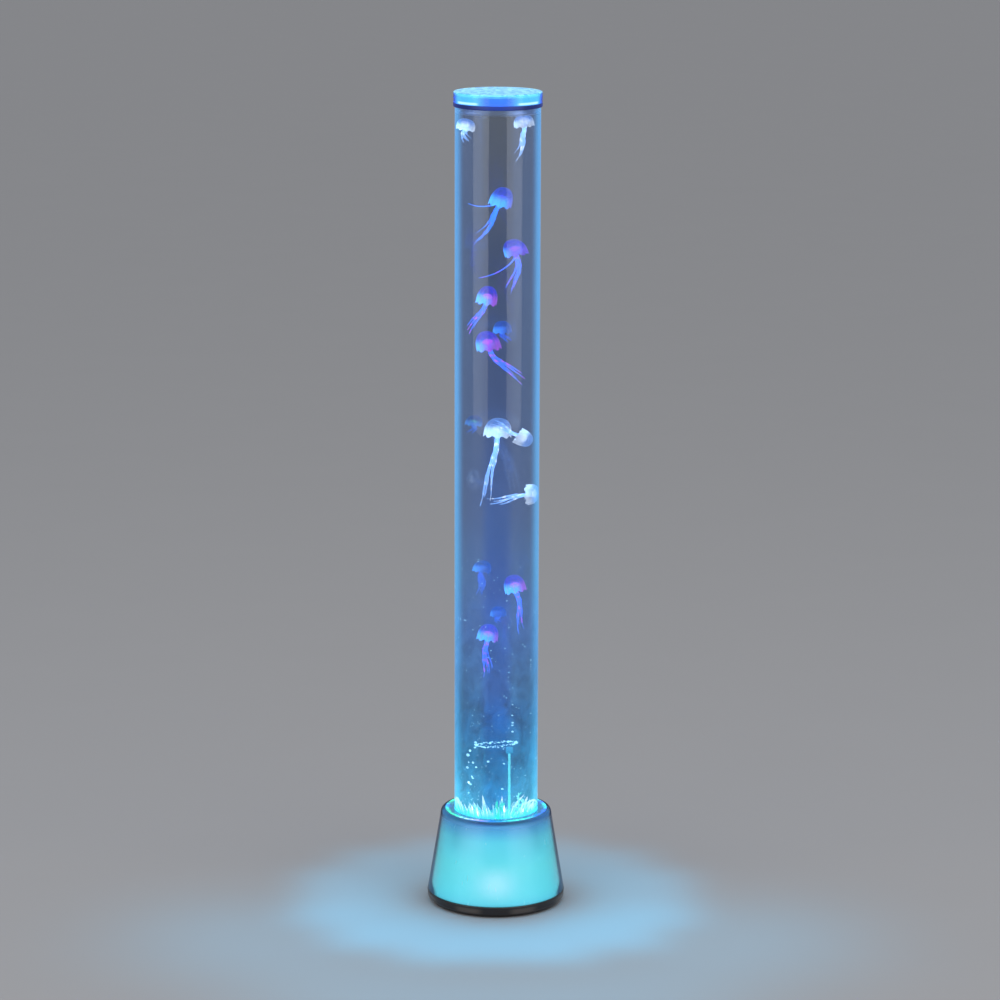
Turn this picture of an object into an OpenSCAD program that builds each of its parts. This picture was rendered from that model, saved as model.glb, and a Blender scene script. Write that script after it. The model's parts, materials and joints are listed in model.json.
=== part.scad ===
// Bubble tube floor lamp: a clear water-filled tube with drifting jellyfish, standing on a glowing base.
// Millimetres, +Z up, the floor at z = 0 and the lamp's axis on Z. The inlet and the button face +Y.

/* [Base] */
// Height of the rubber foot under the black ring
foot_h = 2; // [1:0.5:5]
// Width across the black ring at its top
ring_d = 165; // [158:1:180]
// Height of the top of the black ring above the floor
ring_top = 13.7; // [12.5:0.1:16]
// Height and width of the bevel at the black ring's lower edge
ring_bevel = 4; // [2:0.5:6]
// Thickness of the pan's floor
pan_floor_t = 3; // [2:0.5:4]
// Height of the base's flat top above the floor
rim_z = 114; // [110:1:120]
// Width of the base's flat top beyond the tube, where the clear shell would end without its rounded shoulder
rim_w = 15.5; // [14:0.5:18]
// Wall of the clear outer shell
shell_wall = 3; // [2:0.5:4]
// Radius of the clear shell's shoulder
shoulder_r = 5; // [3:0.5:8]
// Wall of the frosted inner cone
diffuser_wall = 2.2; // [1.5:0.1:3]
// Radius of the frosted cone's shoulder
diffuser_shoulder_r = 4; // [3:0.5:4.5]

/* [Water tube] */
// Outer diameter of the tube
tube_d = 100; // [96:1:102]
// Wall of the tube
tube_wall = 3; // [2:0.5:4]
// Length of the tube
tube_len = 877; // [840:1:1000]
// Depth of the tube in its socket
socket_depth = 20; // [14:1:24]
// Thickness of the tube's floor
tube_floor_t = 6; // [4:0.5:8]
// Depth of the water's surface below the tube's top edge
water_gap = 20; // [15:1:40]

/* [Cap] */
// Thickness of the cap's top
cap_t = 4; // [3:0.5:6]
// Length of the cap's skirt below the tube's top edge
cap_skirt = 8.7; // [6:0.1:12]
// Wall of the cap's skirt
cap_wall = 1.55; // [1.2:0.05:3]
// Height of the dark sealing band under the skirt
seal_h = 5; // [3:0.5:8]
// Diameter of the cap's air vents
vent_d = 2.5; // [2:0.5:4]

/* [Air] */
// Height of the air pipe's top above the tube's floor
pipe_h = 88; // [60:1:110]
// Outer diameter of the air pipe
pipe_d = 4; // [3.5:0.1:5]
// Distance of the air pipe from the lamp's axis
pipe_x = 11.6; // [9:0.1:14]
// Width of the pump's case
pump_w = 60; // [58:1:64]
// Depth of the pump's case
pump_l = 38; // [36:1:40]
// Height of the pump's case with its lid
pump_h = 32; // [30:1:36]
// Length of the coil's iron core
core_len = 7; // [6.5:0.5:9]

/* [Creatures and plants] */
// Wall of a jellyfish's bell
bell_wall = 1.1; // [0.8:0.1:1.6]
// Height of a bell as a share of its radius
bell_rise = 0.82; // [0.7:0.02:1]
// Radius of an arm where it leaves the bell
arm_r = 1.3; // [0.9:0.1:1.5]
// Arms under each bell
arm_count = 5; // [3:1:6]
// Blades of grass round the foot of the water
blade_count = 84; // [40:1:110]
// Height of the tallest blade of grass
blade_h = 36; // [20:1:44]
// Crystals on the mat
crystal_count = 18; // [6:1:24]

/* [Controls] */
// Travel of the power button
button_travel = 1.2; // [0.8:0.1:1.4]
// Diameter of the power button
button_d = 6.2; // [5:0.1:6.4]

/* [Hidden] */
$fn = 64;

// Clearances: a push fit between round faces, a loose fit, and the gap between parts of different bodies.
fit = 0.1;
loose = 0.3;
eps = 0.01;

// Base heights and radii
ring_r = ring_d / 2;
tube_r = tube_d / 2;
shell_top_r = tube_r + rim_w;
pan_floor_z = foot_h + pan_floor_t;
shell_foot_r = ring_r - 0.4;
shell_slope = (shell_foot_r - shell_top_r) / (rim_z - ring_top);
shell_lean = atan(shell_slope);
diffuser_gap = 0.3;
spigot_h = 4;
spigot_w = 2.4;
spigot_r = diffuser_in_r(ring_top + spigot_h) - loose;
pan_in_r = spigot_r - spigot_w;
foot_ring_in_r = 62;
foot_ring_w = 12;
foot_seat = 0.5;
ring_lens_t = 2;
diffuser_bevel = 0.8;
diffuser_top_z = rim_z - ring_lens_t - shell_wall - 0.2;
rib_w = 3;
rib_root = 1;
rib_r = pan_in_r - 11.5;
strip_h = 8;
strip_t = 0.5;
strip_z = ring_top + 4.5;
rib_top_z = strip_z + strip_h;
wire_notch_w = 16;
wire_notch_h = 8;
air_slots_each_side = 2;
air_slot_pitch = 8;
air_slot_w = 2.4;
air_slot_len = 22;

// Tube and socket
bore_r = tube_r - tube_wall;
tube_z = rim_z - socket_depth;
tube_top = tube_z + tube_len;
floor_top = tube_z + tube_floor_t;
water_top = tube_top - water_gap;
water_depth = water_top - floor_top;
gasket_t = 1;
socket_wall = 3;
socket_in_r = tube_r + loose;
socket_out_r = socket_in_r + socket_wall;
ledge_t = 3;
ledge_top = tube_z - gasket_t;
ledge_z = ledge_top - ledge_t;
well_r = bore_r - 0.6;
well_wall = 3;
well_h = 8;
lip_w = 4;
lip_t = 2;
board_t = 1.6;
rebate_w = 2.6;

// Lights
led_h = 1.6;
tube_led = 5;
tube_led_ring_r = bore_r - 11;
tube_led_count = 12;
rim_led = 3.6;
rim_led_h = 1.2;
rim_led_count = 24;
rim_board_w = 4.6;
shell_led = 4;
shell_led_count = 18;

// Legs and their screws
leg_r = 4;
leg_ring_r = tube_r + 1;
leg_seat_h = 3;
leg_foot_z = pan_floor_z + leg_seat_h;
fin_t = 2.5;
fin_reach = 3;
fin_from = 20;
fin_slant = 6;
screw_r = 1.5;
screw_head_r = 3;
screw_head_h = 1.8;
screw_len = 15;

// Inlet and button, both in the ring's rear wall
inlet_z = pan_floor_z + 3.7;
inlet_nose_r = 3.5;
inlet_bore_r = 2.85;
inlet_depth = 9.5;
inlet_pin_r = 1;
inlet_body = [9, 10.5, 8];
inlet_front_y = pan_in_r - 0.3;
button_z = pan_floor_z + 4.1;
button_turn = -20;
button_stands = 1.4;
button_flange_t = 0.9;
button_flange_r = button_d / 2 + 0.8;
stem_r = 1.5;
stem_in = 2.3;
switch_body_size = [8, 7, 8];

// Control board
board_size = [46, 28];
board_y = leg_ring_r - 20;
board_post_h = 5;
board_post_r = 2.5;
board_z = pan_floor_z + board_post_h;
board_top = board_z + board_t;
plug_size = [8, 5, 5];

// Pump, its lever on a pin at the right and its magnet at the left
pump_y = -8;
isolator_h = 3;
isolator_r = 4;
pump_z = pan_floor_z + isolator_h;
pump_wall = 2;
pump_lid_t = 2;
lid_z = pump_z + pump_h - pump_lid_t;
lever_z = pump_z + 15;
lever_t = 4;
lever_w = 7;
core_gap = 1;
pin_r = 1.5;
pin_clear = 0.05;
pin_x = pump_w / 2 - 6;
lever_len = pin_x + pump_w / 2 - pump_wall - core_len - core_gap;
eye_r = 3.2;
ear_t = 3;
pad_x = pin_x - 14;
pad_r = 5;
pad_t = 1;
magnet = [8, 10, 5];
core_r = 4;
core_plate_r = 9.5;
core_plate_t = 1;
winding_r = 8.5;
diaphragm_h = 4;
diaphragm_r = 8.4;
diaphragm_wall = 1;
chamber_r = 9;
chamber_z = lever_z + lever_t / 2 + pad_t + diaphragm_h;
outlet_y = pump_y + 4;
outlet_r = 2.2;
outlet_bore_r = 1.2;
outlet_h = 9;
hose_r = 3.4;

// Air line from the pump's outlet to the fitting in the tube's floor
fitting_r = 3;
fitting_flange_r = 6;
fitting_flange_t = 2;
fitting_nut_h = 3;
fitting_low = tube_z - 14;
nozzle_h = 6;
nozzle_r = 1.1;
air_bore_r = 0.7;
barb_h = 5;
valve_r = 5;
valve_h = 12;
valve_low = fitting_low - barb_h - 1 - valve_h;
stone_r = 3.2;
stone_h = 8;

// Mat, plants and crystals on the tube's floor
mat_t = 2;
mat_top = floor_top + mat_t;
// Plants: across and behind the axis (share of the bore's radius), height, number of leaves.
PLANTS = [
    [0.447, -0.191, 38, 9],
    [0.468, 0.128, 27, 7]
];
plant_places = [for (p = PLANTS) bore_r * [p[0], p[1]]];
plant_clear = 10;
crystal_from = -125;
crystal_to = -40;
crystal_ring_r = 0.553 * bore_r;
crystal_row = 0.1575 * bore_r;
crystal_r = 3;
crystal_h = 12;
crystal_twist = 61;

// Cap
cap_in_r = tube_r + loose;
cap_out_r = cap_in_r + cap_wall;
cap_z = tube_top - cap_skirt;
cap_round = 2;
plug_h = 6;
plug_wall = 3;
vent_ring_r = 26;

// Jellyfish: across and behind the axis (percent of the bore's radius), up (percent of the water's depth),
// bell diameter, lean, arm length, the arms' drift across and behind, and a streamer's reach across and down.
JELLIES = [
    [-64,   0, 98.1, 20,  12,  17,   4,   0,   0,   0],
    [ 54, -21, 98.8, 21,  -8,  42, -12,   0,   0,   0],
    [  6, -30, 88.3, 22,  14,  55, -10,   2, -31, -10],
    [ 31,  30, 80.9, 19, -14,  48, -13,   0, -36, -22],
    [-23, -42, 75.0, 21,  10,  42, -12,   0,   0,   0],
    [  8,  47, 69.9, 14,   0,  14,   3,   0,   0,   0],
    [-17,  -4, 68.4, 22, -10,  50,  23,   0,   0,   0],
    [-36,  51, 56.9, 12,   6,  12,   0,   0,   0,   0],
    [ 50, -31, 55.9, 19, 122,  34,   0,   0,   0,   0],
    [  1,  30, 56.1, 22,   4,  94,  -5,   2,   0,   0],
    [ 66,  -8, 47.7, 24,  86,  42,   5,   0,   0,   0],
    [-24,  39, 36.6, 14,   8,  33,   4,   0,   0,   0],
    [ 38, -22, 34.6, 21, -12,  56,  -4,   0,   0,   0],
    [  3,  48, 30.2, 12,   0,  11,   0,   0,   0,   0],
    [-18, -22, 27.7, 20,   8,  50,   5,   0,   0,   0]
];

// How far the arms sway across and behind.
arm_sway = [1.6, 1.2];

// A point on the clear shell's outer and inner slope at height z.
function shell_out_r(z) = shell_foot_r - (z - ring_top) * shell_slope;
function shell_in_r(z) = shell_out_r(z) - shell_wall / cos(shell_lean);
function diffuser_out_r(z) = shell_in_r(z) - diffuser_gap;
function diffuser_in_r(z) = diffuser_out_r(z) - diffuser_wall / cos(shell_lean);
// Radius at which a rounding of radius r, centred at height z, meets the slope of the function's surface.
function centre_r(surface_r, r) = surface_r - r * cos(shell_lean);
function shoulder_centre_r() =
    centre_r(shell_out_r(rim_z - shoulder_r * (1 - sin(shell_lean))), shoulder_r);

// Points of an arc in the r-z plane.
function arc(cx, cz, r, from, to, steps) =
    [for (i = [0:steps]) let (a = from + (to - from) * i / steps) [cx + r * cos(a), cz + r * sin(a)]];

function unit(v) = v / norm(v);

// The direction of a path at its point i.
function along(path, i) = unit(path[min(i + 1, len(path) - 1)] - path[max(i - 1, 0)]);

// One ring of points round c, square to t.
function ring(c, t, r, sides, ref) =
    let (u = unit(cross(ref, t)))
    let (v = cross(t, u))
    [for (j = [0:sides - 1]) c + r * (u * cos(360 * j / sides) + v * sin(360 * j / sides))];

// A solid strand that follows a path, with a radius for each of the path's points.
module strand(path, radii, sides, ref = [0.25, 0.96, 0.12]) {
    rows = len(path);
    points = [for (i = [0:rows - 1]) each ring(path[i], along(path, i), radii[i], sides, ref)];
    sides_faces = [
        for (i = [0:rows - 2])
            for (j = [0:sides - 1])
                let (k = (j + 1) % sides)
                [i * sides + j, (i + 1) * sides + j, (i + 1) * sides + k, i * sides + k]
    ];
    start = [for (j = [0:sides - 1]) j];
    end = [for (j = [sides - 1:-1:0]) (rows - 1) * sides + j];
    polyhedron(points = points, faces = concat([start], sides_faces, [end]));
}

// A flat washer: a disc with a round hole.
module washer(r_out, r_in, z, h) {
    translate([0, 0, z])
        difference() {
            cylinder(r = r_out, h = h, $fn = 96);
            translate([0, 0, -1]) cylinder(r = r_in, h = h + 2, $fn = 96);
        }
}

module at_legs() {
    for (a = [0:90:270])
        rotate([0, 0, a]) translate([leg_ring_r, 0, 0]) children();
}

// ---- Base ----

function pan_profile() = [
    [0, foot_h],
    [ring_r - ring_bevel, foot_h],
    [ring_r - 0.9, foot_h + ring_bevel],
    [ring_r, ring_top - 0.8],
    [ring_r - 0.4, ring_top],
    [spigot_r, ring_top],
    [spigot_r, ring_top + spigot_h],
    [pan_in_r, ring_top + spigot_h],
    [pan_in_r, pan_floor_z],
    [0, pan_floor_z]
];

function rib_profile() = [
    [rib_r - rib_w, pan_floor_z - rib_root],
    [rib_r, pan_floor_z - rib_root],
    [rib_r, rib_top_z],
    [rib_r - rib_w, rib_top_z]
];

// The rib on the pan's floor: the light strip runs round its wall.
module rib() {
    difference() {
        rotate_extrude($fn = 128) polygon(rib_profile());
        wire_notch();
        rotate([0, 0, button_turn]) wire_notch();
    }
}

module wire_notch() {
    translate([-wire_notch_w / 2, rib_r - rib_w - 1, pan_floor_z - 2 * rib_root])
        cube([wire_notch_w, rib_w + 2, wire_notch_h + 2 * rib_root]);
}

module base_pan() {
    color("#2c292b")
        difference() {
            union() {
                rotate_extrude($fn = 128) polygon(pan_profile());
                at_legs() translate([0, 0, pan_floor_z]) cylinder(r = leg_r + 1.5, h = leg_seat_h);
                at_board_posts() cylinder(r = board_post_r, h = board_post_h);
                rib();
            }
            translate([0, 0, foot_h - eps]) washer_cut();
            at_legs() {
                translate([0, 0, foot_h - 1]) cylinder(r = screw_r + fit, h = pan_floor_t + leg_seat_h + 2);
                translate([0, 0, foot_h - 1]) cylinder(r = screw_head_r + loose, h = screw_head_h + 1.2);
            }
            translate([0, pan_in_r - 1, inlet_z])
                rotate([-90, 0, 0]) cylinder(r = inlet_nose_r + fit, h = ring_r);
            rotate([0, 0, button_turn])
                translate([0, pan_in_r - 1, button_z])
                    rotate([-90, 0, 0]) cylinder(r = button_d / 2 + loose, h = ring_r);
            for (i = [-air_slots_each_side:air_slots_each_side])
                translate([i * air_slot_pitch - air_slot_w / 2, pump_y - air_slot_len / 2, foot_h - 1])
                    cube([air_slot_w, air_slot_len, pan_floor_t + 2]);
        }
}

// The shallow seat of the rubber foot in the pan's underside.
module washer_cut() {
    difference() {
        cylinder(r = foot_ring_in_r + foot_ring_w + fit, h = foot_seat + eps, $fn = 96);
        translate([0, 0, -1]) cylinder(r = foot_ring_in_r - fit, h = foot_seat + 2, $fn = 96);
    }
}

module at_board_posts() {
    for (sx = [-1, 1])
        for (sy = [-1, 1])
            translate([sx * (board_size[0] / 2 - 3), board_y + sy * (board_size[1] / 2 - 3), pan_floor_z])
                children();
}

module foot_ring() {
    color("#1d1d1f")
        rotate_extrude($fn = 96)
            polygon([
                [foot_ring_in_r + 0.6, 0],
                [foot_ring_in_r + foot_ring_w - 0.6, 0],
                [foot_ring_in_r + foot_ring_w, 0.8],
                [foot_ring_in_r + foot_ring_w, foot_h + foot_seat],
                [foot_ring_in_r, foot_h + foot_seat],
                [foot_ring_in_r, 0.8]
            ]);
}

module base_screws() {
    color("#b9bcc2")
        at_legs() {
            translate([0, 0, foot_h + 0.2]) cylinder(r = screw_head_r, h = screw_head_h);
            translate([0, 0, foot_h + 0.2]) cylinder(r = screw_r, h = screw_len);
        }
}

function shell_profile() = concat(
    [[shell_in_r(ring_top), ring_top], [shell_foot_r, ring_top]],
    arc(shoulder_centre_r(), rim_z - shoulder_r, shoulder_r, shell_lean, 90, 8),
    [
        [shoulder_centre_r(), rim_z - ring_lens_t],
        [shoulder_centre_r() - rebate_w, rim_z - ring_lens_t],
        [shoulder_centre_r() - rebate_w, rim_z - ring_lens_t - shell_wall],
        [shell_in_r(rim_z - ring_lens_t - shell_wall), rim_z - ring_lens_t - shell_wall]
    ]
);

module outer_shell() {
    color("#2c6c97", 0.35) rotate_extrude($fn = 128) polygon(shell_profile());
}

// The frosted cone lines the clear shell from the black ring up to its shoulder; the ring's spigot holds it.
function diffuser_profile() =
    let (top = diffuser_top_z - diffuser_shoulder_r)
    let (top_c = centre_r(diffuser_out_r(top + diffuser_shoulder_r * sin(shell_lean)), diffuser_shoulder_r))
    let (top_in = diffuser_shoulder_r - diffuser_wall)
    concat(
        [[diffuser_in_r(ring_top), ring_top], [diffuser_out_r(ring_top) - diffuser_bevel, ring_top]],
        [[diffuser_out_r(ring_top + diffuser_bevel), ring_top + diffuser_bevel]],
        arc(top_c, top, diffuser_shoulder_r, shell_lean, 90, 6),
        [[socket_out_r + loose, diffuser_top_z], [socket_out_r + loose, diffuser_top_z - diffuser_wall]],
        arc(top_c, top, top_in, 90, shell_lean, 4)
    );

module diffuser() {
    color("#8fe9f5")
        difference() {
            rotate_extrude($fn = 128) polygon(diffuser_profile());
            rotate([0, 0, 135])
                translate([rim_led_ring_r(), 0, diffuser_top_z - diffuser_wall - 1])
                    cylinder(r = 1.6, h = diffuser_wall + 2);
        }
}

function rim_led_ring_r() = (socket_out_r + shoulder_centre_r() - rebate_w) / 2;

module top_ring() {
    color("#4fa0c4", 0.5)
        washer(shoulder_centre_r() - loose, tube_r + 0.4, rim_z - ring_lens_t, ring_lens_t);
}

function socket_profile() =
    let (low = ledge_z - well_h)
    [
        [well_r - lip_w, low],
        [well_r + well_wall, low],
        [well_r + well_wall, ledge_z],
        [socket_out_r, ledge_z],
        [socket_out_r, rim_z - ring_lens_t],
        [socket_in_r, rim_z - ring_lens_t],
        [socket_in_r, ledge_top],
        [well_r, ledge_top],
        [well_r, low + lip_t],
        [well_r - lip_w, low + lip_t]
    ];

module tube_socket() {
    color("#e6edf0")
        difference() {
            union() {
                rotate_extrude($fn = 96) polygon(socket_profile());
                at_legs() difference() {
                    translate([0, 0, leg_foot_z]) cylinder(r = leg_r, h = ledge_z - leg_foot_z);
                    translate([-leg_ring_r, 0, 0]) cylinder(r = well_r, h = ledge_top, $fn = 96);
                }
                at_legs() leg_fin();
            }
            at_legs() translate([0, 0, leg_foot_z - 1]) cylinder(r = screw_r + pin_clear, h = screw_len);
        }
}

// A tapering fin on the outer side of a leg, under the ledge.
module leg_fin() {
    translate([leg_r - 0.5, fin_t / 2, 0])
        rotate([90, 0, 0])
            linear_extrude(height = fin_t)
                polygon([
                    [0, leg_foot_z + fin_from],
                    [fin_reach, leg_foot_z + fin_from + fin_slant],
                    [fin_reach, ledge_z - fin_slant],
                    [0, ledge_z]
                ]);
}

module socket_gasket() {
    color("#cfd8dc") washer(tube_r, bore_r - 0.3, ledge_top, gasket_t);
}

module tube_light_board() {
    color("#e8f2ee")
        difference() {
            washer(well_r - loose, 5, ledge_z - well_h + lip_t, board_t);
            translate([pipe_x, 0, ledge_z - well_h]) cylinder(r = hose_r + 1.6, h = 10);
        }
}

// Square light sources spaced evenly round the axis, lying on height z.
module lights_on(count, ring_r, size, z, tall) {
    for (i = [0:count - 1])
        rotate([0, 0, (i + 0.5) * 360 / count])
            translate([ring_r - size / 2, -size / 2, z]) cube([size, size, tall]);
}

module tube_lights() {
    color("#f4f6c8")
        lights_on(tube_led_count, tube_led_ring_r, tube_led, ledge_z - well_h + lip_t + board_t + eps, led_h);
}

module rim_light_board() {
    color("#123a52")
        washer(rim_led_ring_r() + rim_board_w / 2, rim_led_ring_r() - rim_board_w / 2, diffuser_top_z, board_t);
}

module rim_lights() {
    color("#39c06a") lights_on(rim_led_count, rim_led_ring_r(), rim_led, diffuser_top_z + board_t + eps, rim_led_h);
}

module shell_light_strip() {
    color("#e8f2ee") washer(rib_r + fit + strip_t, rib_r + fit, strip_z, strip_h - 0.5);
}

module shell_lights() {
    color("#f4f6c8")
        for (i = [0:shell_led_count - 1])
            rotate([0, 0, (i + 0.5) * 360 / shell_led_count])
                translate([rib_r + fit + strip_t + 0.05, -shell_led / 2, strip_z + 2])
                    cube([led_h, shell_led, shell_led - 0.5]);
}

module control_board() {
    color("#1e6b45")
        translate([-board_size[0] / 2, board_y - board_size[1] / 2, board_z])
            cube([board_size[0], board_size[1], board_t]);
}

module board_parts() {
    color("#30343a") {
        for (x = [-14, 14])
            translate([x - plug_size[0] / 2, board_y + 9, board_top]) cube(plug_size);
        translate([-5, board_y - 6, board_top]) cube([10, 10, 1.8]);
        translate([-17, board_y - 6, board_top]) cylinder(r = 4, h = 9);
        translate([9, board_y - 9, board_top]) cube([9, 7, 6]);
        translate([-4, board_y + 7, board_top]) cube([plug_size[0], plug_size[1], plug_size[2]]);
    }
}

module dc_inlet() {
    color("#202124")
        difference() {
            union() {
                translate([-inlet_body[0] / 2, inlet_front_y - inlet_body[1], pan_floor_z])
                    cube([inlet_body[0], inlet_body[1], inlet_body[2]]);
                translate([0, pan_in_r - 2, inlet_z])
                    rotate([-90, 0, 0]) cylinder(r = inlet_nose_r, h = ring_r - 1.2 - pan_in_r + 2);
            }
            difference() {
                translate([0, ring_r - 1.2 - inlet_depth, inlet_z])
                    rotate([-90, 0, 0]) cylinder(r = inlet_bore_r, h = inlet_depth + 1);
                translate([0, ring_r - 2 - inlet_depth, inlet_z])
                    rotate([-90, 0, 0]) cylinder(r = inlet_pin_r, h = inlet_depth - 1.5);
            }
        }
}

module switch_body() {
    color("#202124")
        rotate([0, 0, button_turn])
            difference() {
                translate([-switch_body_size[0] / 2, switch_front() - switch_body_size[1], pan_floor_z])
                    cube(switch_body_size);
                translate([0, switch_front() - stem_in - button_travel - 0.4, button_z])
                    rotate([-90, 0, 0]) cylinder(r = stem_r + fit, h = stem_in + button_travel + 2);
            }
}

// The switch stands behind the button's flange by the button's travel and a little more.
function switch_front() = pan_in_r - 0.2 - button_flange_t - button_travel - loose;

module power_button() {
    color("#3a3a3d")
        rotate([0, 0, button_turn])
            translate([0, 0, button_z])
                rotate([-90, 0, 0])
                    rotate_extrude()
                        polygon([
                            [0, switch_front() - stem_in],
                            [stem_r, switch_front() - stem_in],
                            [stem_r, pan_in_r - 0.2 - button_flange_t],
                            [button_flange_r, pan_in_r - 0.2 - button_flange_t],
                            [button_flange_r, pan_in_r - 0.2],
                            [button_d / 2, pan_in_r - 0.2],
                            [button_d / 2, ring_r + button_stands - 0.5],
                            [button_d / 2 - 0.5, ring_r + button_stands],
                            [0, ring_r + button_stands - 0.3]
                        ]);
}

// Leads inside the base, each along its own route from one part to the next.
wire_r = 1;
wire_gap = 0.05;
plug_back_y = board_y + 9 + plug_size[1] + wire_gap;
plug_top_z = board_top + plug_size[2] + wire_gap;
inlet_back_y = inlet_front_y - inlet_body[1] - wire_gap;
switch_back_y = switch_front() - switch_body_size[1] - wire_gap;
pump_back_y = pump_y + pump_l / 2 + wire_gap;
tube_board_z = ledge_z - well_h + lip_t - wire_gap;
rim_wire_x = -rim_led_ring_r() * cos(45);
wire_routes = [
    [
        [-2, inlet_back_y, 9],
        [-2, inlet_back_y - 1.2, 9],
        [-4.5, inlet_back_y - 4.4, 10],
        [-leg_r - 2.6, rib_r - rib_w - 2.2, 10],
        [-14, board_y + 18, 14],
        [-14, plug_back_y, 14]
    ],
    [
        [-switch_back_y * sin(button_turn), switch_back_y * cos(button_turn), 9],
        [-(switch_back_y - 4) * sin(button_turn), (switch_back_y - 4) * cos(button_turn), 9],
        [17, board_y + 23, 10],
        [14, board_y + 18, 14],
        [14, plug_back_y, 14]
    ],
    [
        [13, board_y - 9 - wire_gap, 15],
        [13, 18, 15],
        [4, 16, 20],
        [-12, 14.5, 27],
        [-24, 14, 30],
        [-24, pump_back_y, 30]
    ],
    [
        [14, board_y + 11.5, plug_top_z],
        [14, board_y + 11.5, 20],
        [20, board_y + 7, 32],
        [26, 27, 55],
        [28, 18, 76],
        [28, 18, tube_board_z]
    ],
    [
        [0, board_y + 9.5, plug_top_z],
        [0, board_y + 9.5, 20],
        [-12, board_y + 11, 32],
        [-32, board_y + 11, 58],
        [rim_wire_x, -rim_wire_x, 84],
        [rim_wire_x, -rim_wire_x, diffuser_top_z - wire_gap]
    ]
];

module wires() {
    color("#c8342c")
        for (route = wire_routes)
            strand(route, [for (p = route) wire_r], 6);
}

// ---- Air pump ----

module at_isolators() {
    for (sx = [-1, 1])
        for (sy = [-1, 1])
            translate([sx * (pump_w / 2 - 6), pump_y + sy * (pump_l / 2 - 6), pan_floor_z]) children();
}

module pump_isolators() {
    color("#2a2a2c") at_isolators() cylinder(r = isolator_r, h = isolator_h);
}

module pump_case() {
    color("#d9dde0")
        difference() {
            union() {
                difference() {
                    translate([-pump_w / 2, pump_y - pump_l / 2, pump_z])
                        cube([pump_w, pump_l, pump_h - pump_lid_t]);
                    translate([-pump_w / 2 + pump_wall, pump_y - pump_l / 2 + pump_wall, pump_z + pump_wall])
                        cube([pump_w - 2 * pump_wall, pump_l - 2 * pump_wall, pump_h]);
                }
                for (side = [-1, 1])
                    translate([pin_x, pump_y + side * (lever_w / 2 + loose + ear_t / 2), 0]) pivot_ear();
            }
            translate([pin_x, pump_y - pump_l / 2 + pump_wall + 1, lever_z])
                rotate([-90, 0, 0]) cylinder(r = pin_r + pin_clear, h = pump_l - 2 * pump_wall - 2);
        }
}

// One upright ear that carries the lever's pin.
module pivot_ear() {
    translate([0, ear_t / 2, 0])
        rotate([90, 0, 0])
            linear_extrude(height = ear_t)
                union() {
                    translate([-eye_r, pump_z + pump_wall - 0.5]) square([2 * eye_r, lever_z - pump_z - pump_wall + 0.5]);
                    translate([0, lever_z]) circle(r = eye_r);
                }
}

module pivot_pin() {
    color("#b9bcc2")
        translate([pin_x, pump_y - lever_w / 2 - loose - ear_t, lever_z])
            rotate([-90, 0, 0]) cylinder(r = pin_r, h = lever_w + 2 * (loose + ear_t));
}

module pump_arm() {
    color("#f0f0ec")
        difference() {
            union() {
                translate([pin_x, pump_y + lever_w / 2, lever_z])
                    rotate([90, 0, 0]) cylinder(r = eye_r, h = lever_w);
                translate([pin_x - lever_len + magnet[0], pump_y - lever_w / 2, lever_z - lever_t / 2])
                    cube([lever_len - magnet[0], lever_w, lever_t]);
                translate([pad_x, pump_y, lever_z + lever_t / 2 - 0.5]) cylinder(r = pad_r, h = pad_t + 0.5);
            }
            translate([pin_x, pump_y + lever_w, lever_z])
                rotate([90, 0, 0]) cylinder(r = pin_r + pin_clear, h = 2 * lever_w);
        }
}

module arm_magnet() {
    color("#8b9096")
        translate([pin_x - lever_len, pump_y - magnet[1] / 2, lever_z - magnet[2] / 2]) cube(magnet);
}

function core_face_x() = pin_x - lever_len - core_gap;
function core_back_x() = -pump_w / 2 + pump_wall;

module pump_core() {
    color("#6d7278")
        translate([core_back_x(), pump_y, lever_z])
            rotate([0, 90, 0]) {
                cylinder(r = core_plate_r, h = core_plate_t);
                cylinder(r = core_r, h = core_face_x() - core_back_x());
            }
}

module pump_coil() {
    color("#b5652b")
        translate([core_back_x() + core_plate_t, pump_y, lever_z])
            rotate([0, 90, 0])
                difference() {
                    cylinder(r = winding_r, h = core_face_x() - core_back_x() - core_plate_t - 0.5);
                    translate([0, 0, -1]) cylinder(r = core_r + fit, h = pump_w);
                }
}

module pump_diaphragm() {
    color("#3b3d40")
        translate([pad_x, pump_y, chamber_z - diaphragm_h])
            rotate_extrude()
                polygon([
                    [0, 0],
                    [pad_r - 0.2, 0],
                    [diaphragm_r, diaphragm_h - 1],
                    [diaphragm_r, diaphragm_h],
                    [diaphragm_r - 1.6, diaphragm_h],
                    [pad_r - 1.2, diaphragm_wall],
                    [0, diaphragm_wall]
                ]);
}

module pump_chamber() {
    color("#d9dde0")
        difference() {
            union() {
                translate([pad_x, pump_y, chamber_z]) cylinder(r = chamber_r, h = lid_z - chamber_z);
                translate([pipe_x, outlet_y, lid_z - 1])
                    cylinder(r = outlet_r, h = 1 + pump_lid_t + outlet_h);
            }
            translate([pipe_x, outlet_y, chamber_z + 2]) cylinder(r = outlet_bore_r, h = pump_h);
            translate([pad_x, pump_y, chamber_z - 1]) cylinder(r = pad_r, h = 3);
        }
}

module pump_lid() {
    color("#c6ccd0")
        difference() {
            translate([-pump_w / 2, pump_y - pump_l / 2, lid_z]) cube([pump_w, pump_l, pump_lid_t]);
            translate([pipe_x, outlet_y, lid_z - 1]) cylinder(r = outlet_r + fit, h = pump_lid_t + 2);
        }
}

// ---- Air line ----

function outlet_top() = lid_z + pump_lid_t + outlet_h;

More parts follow.
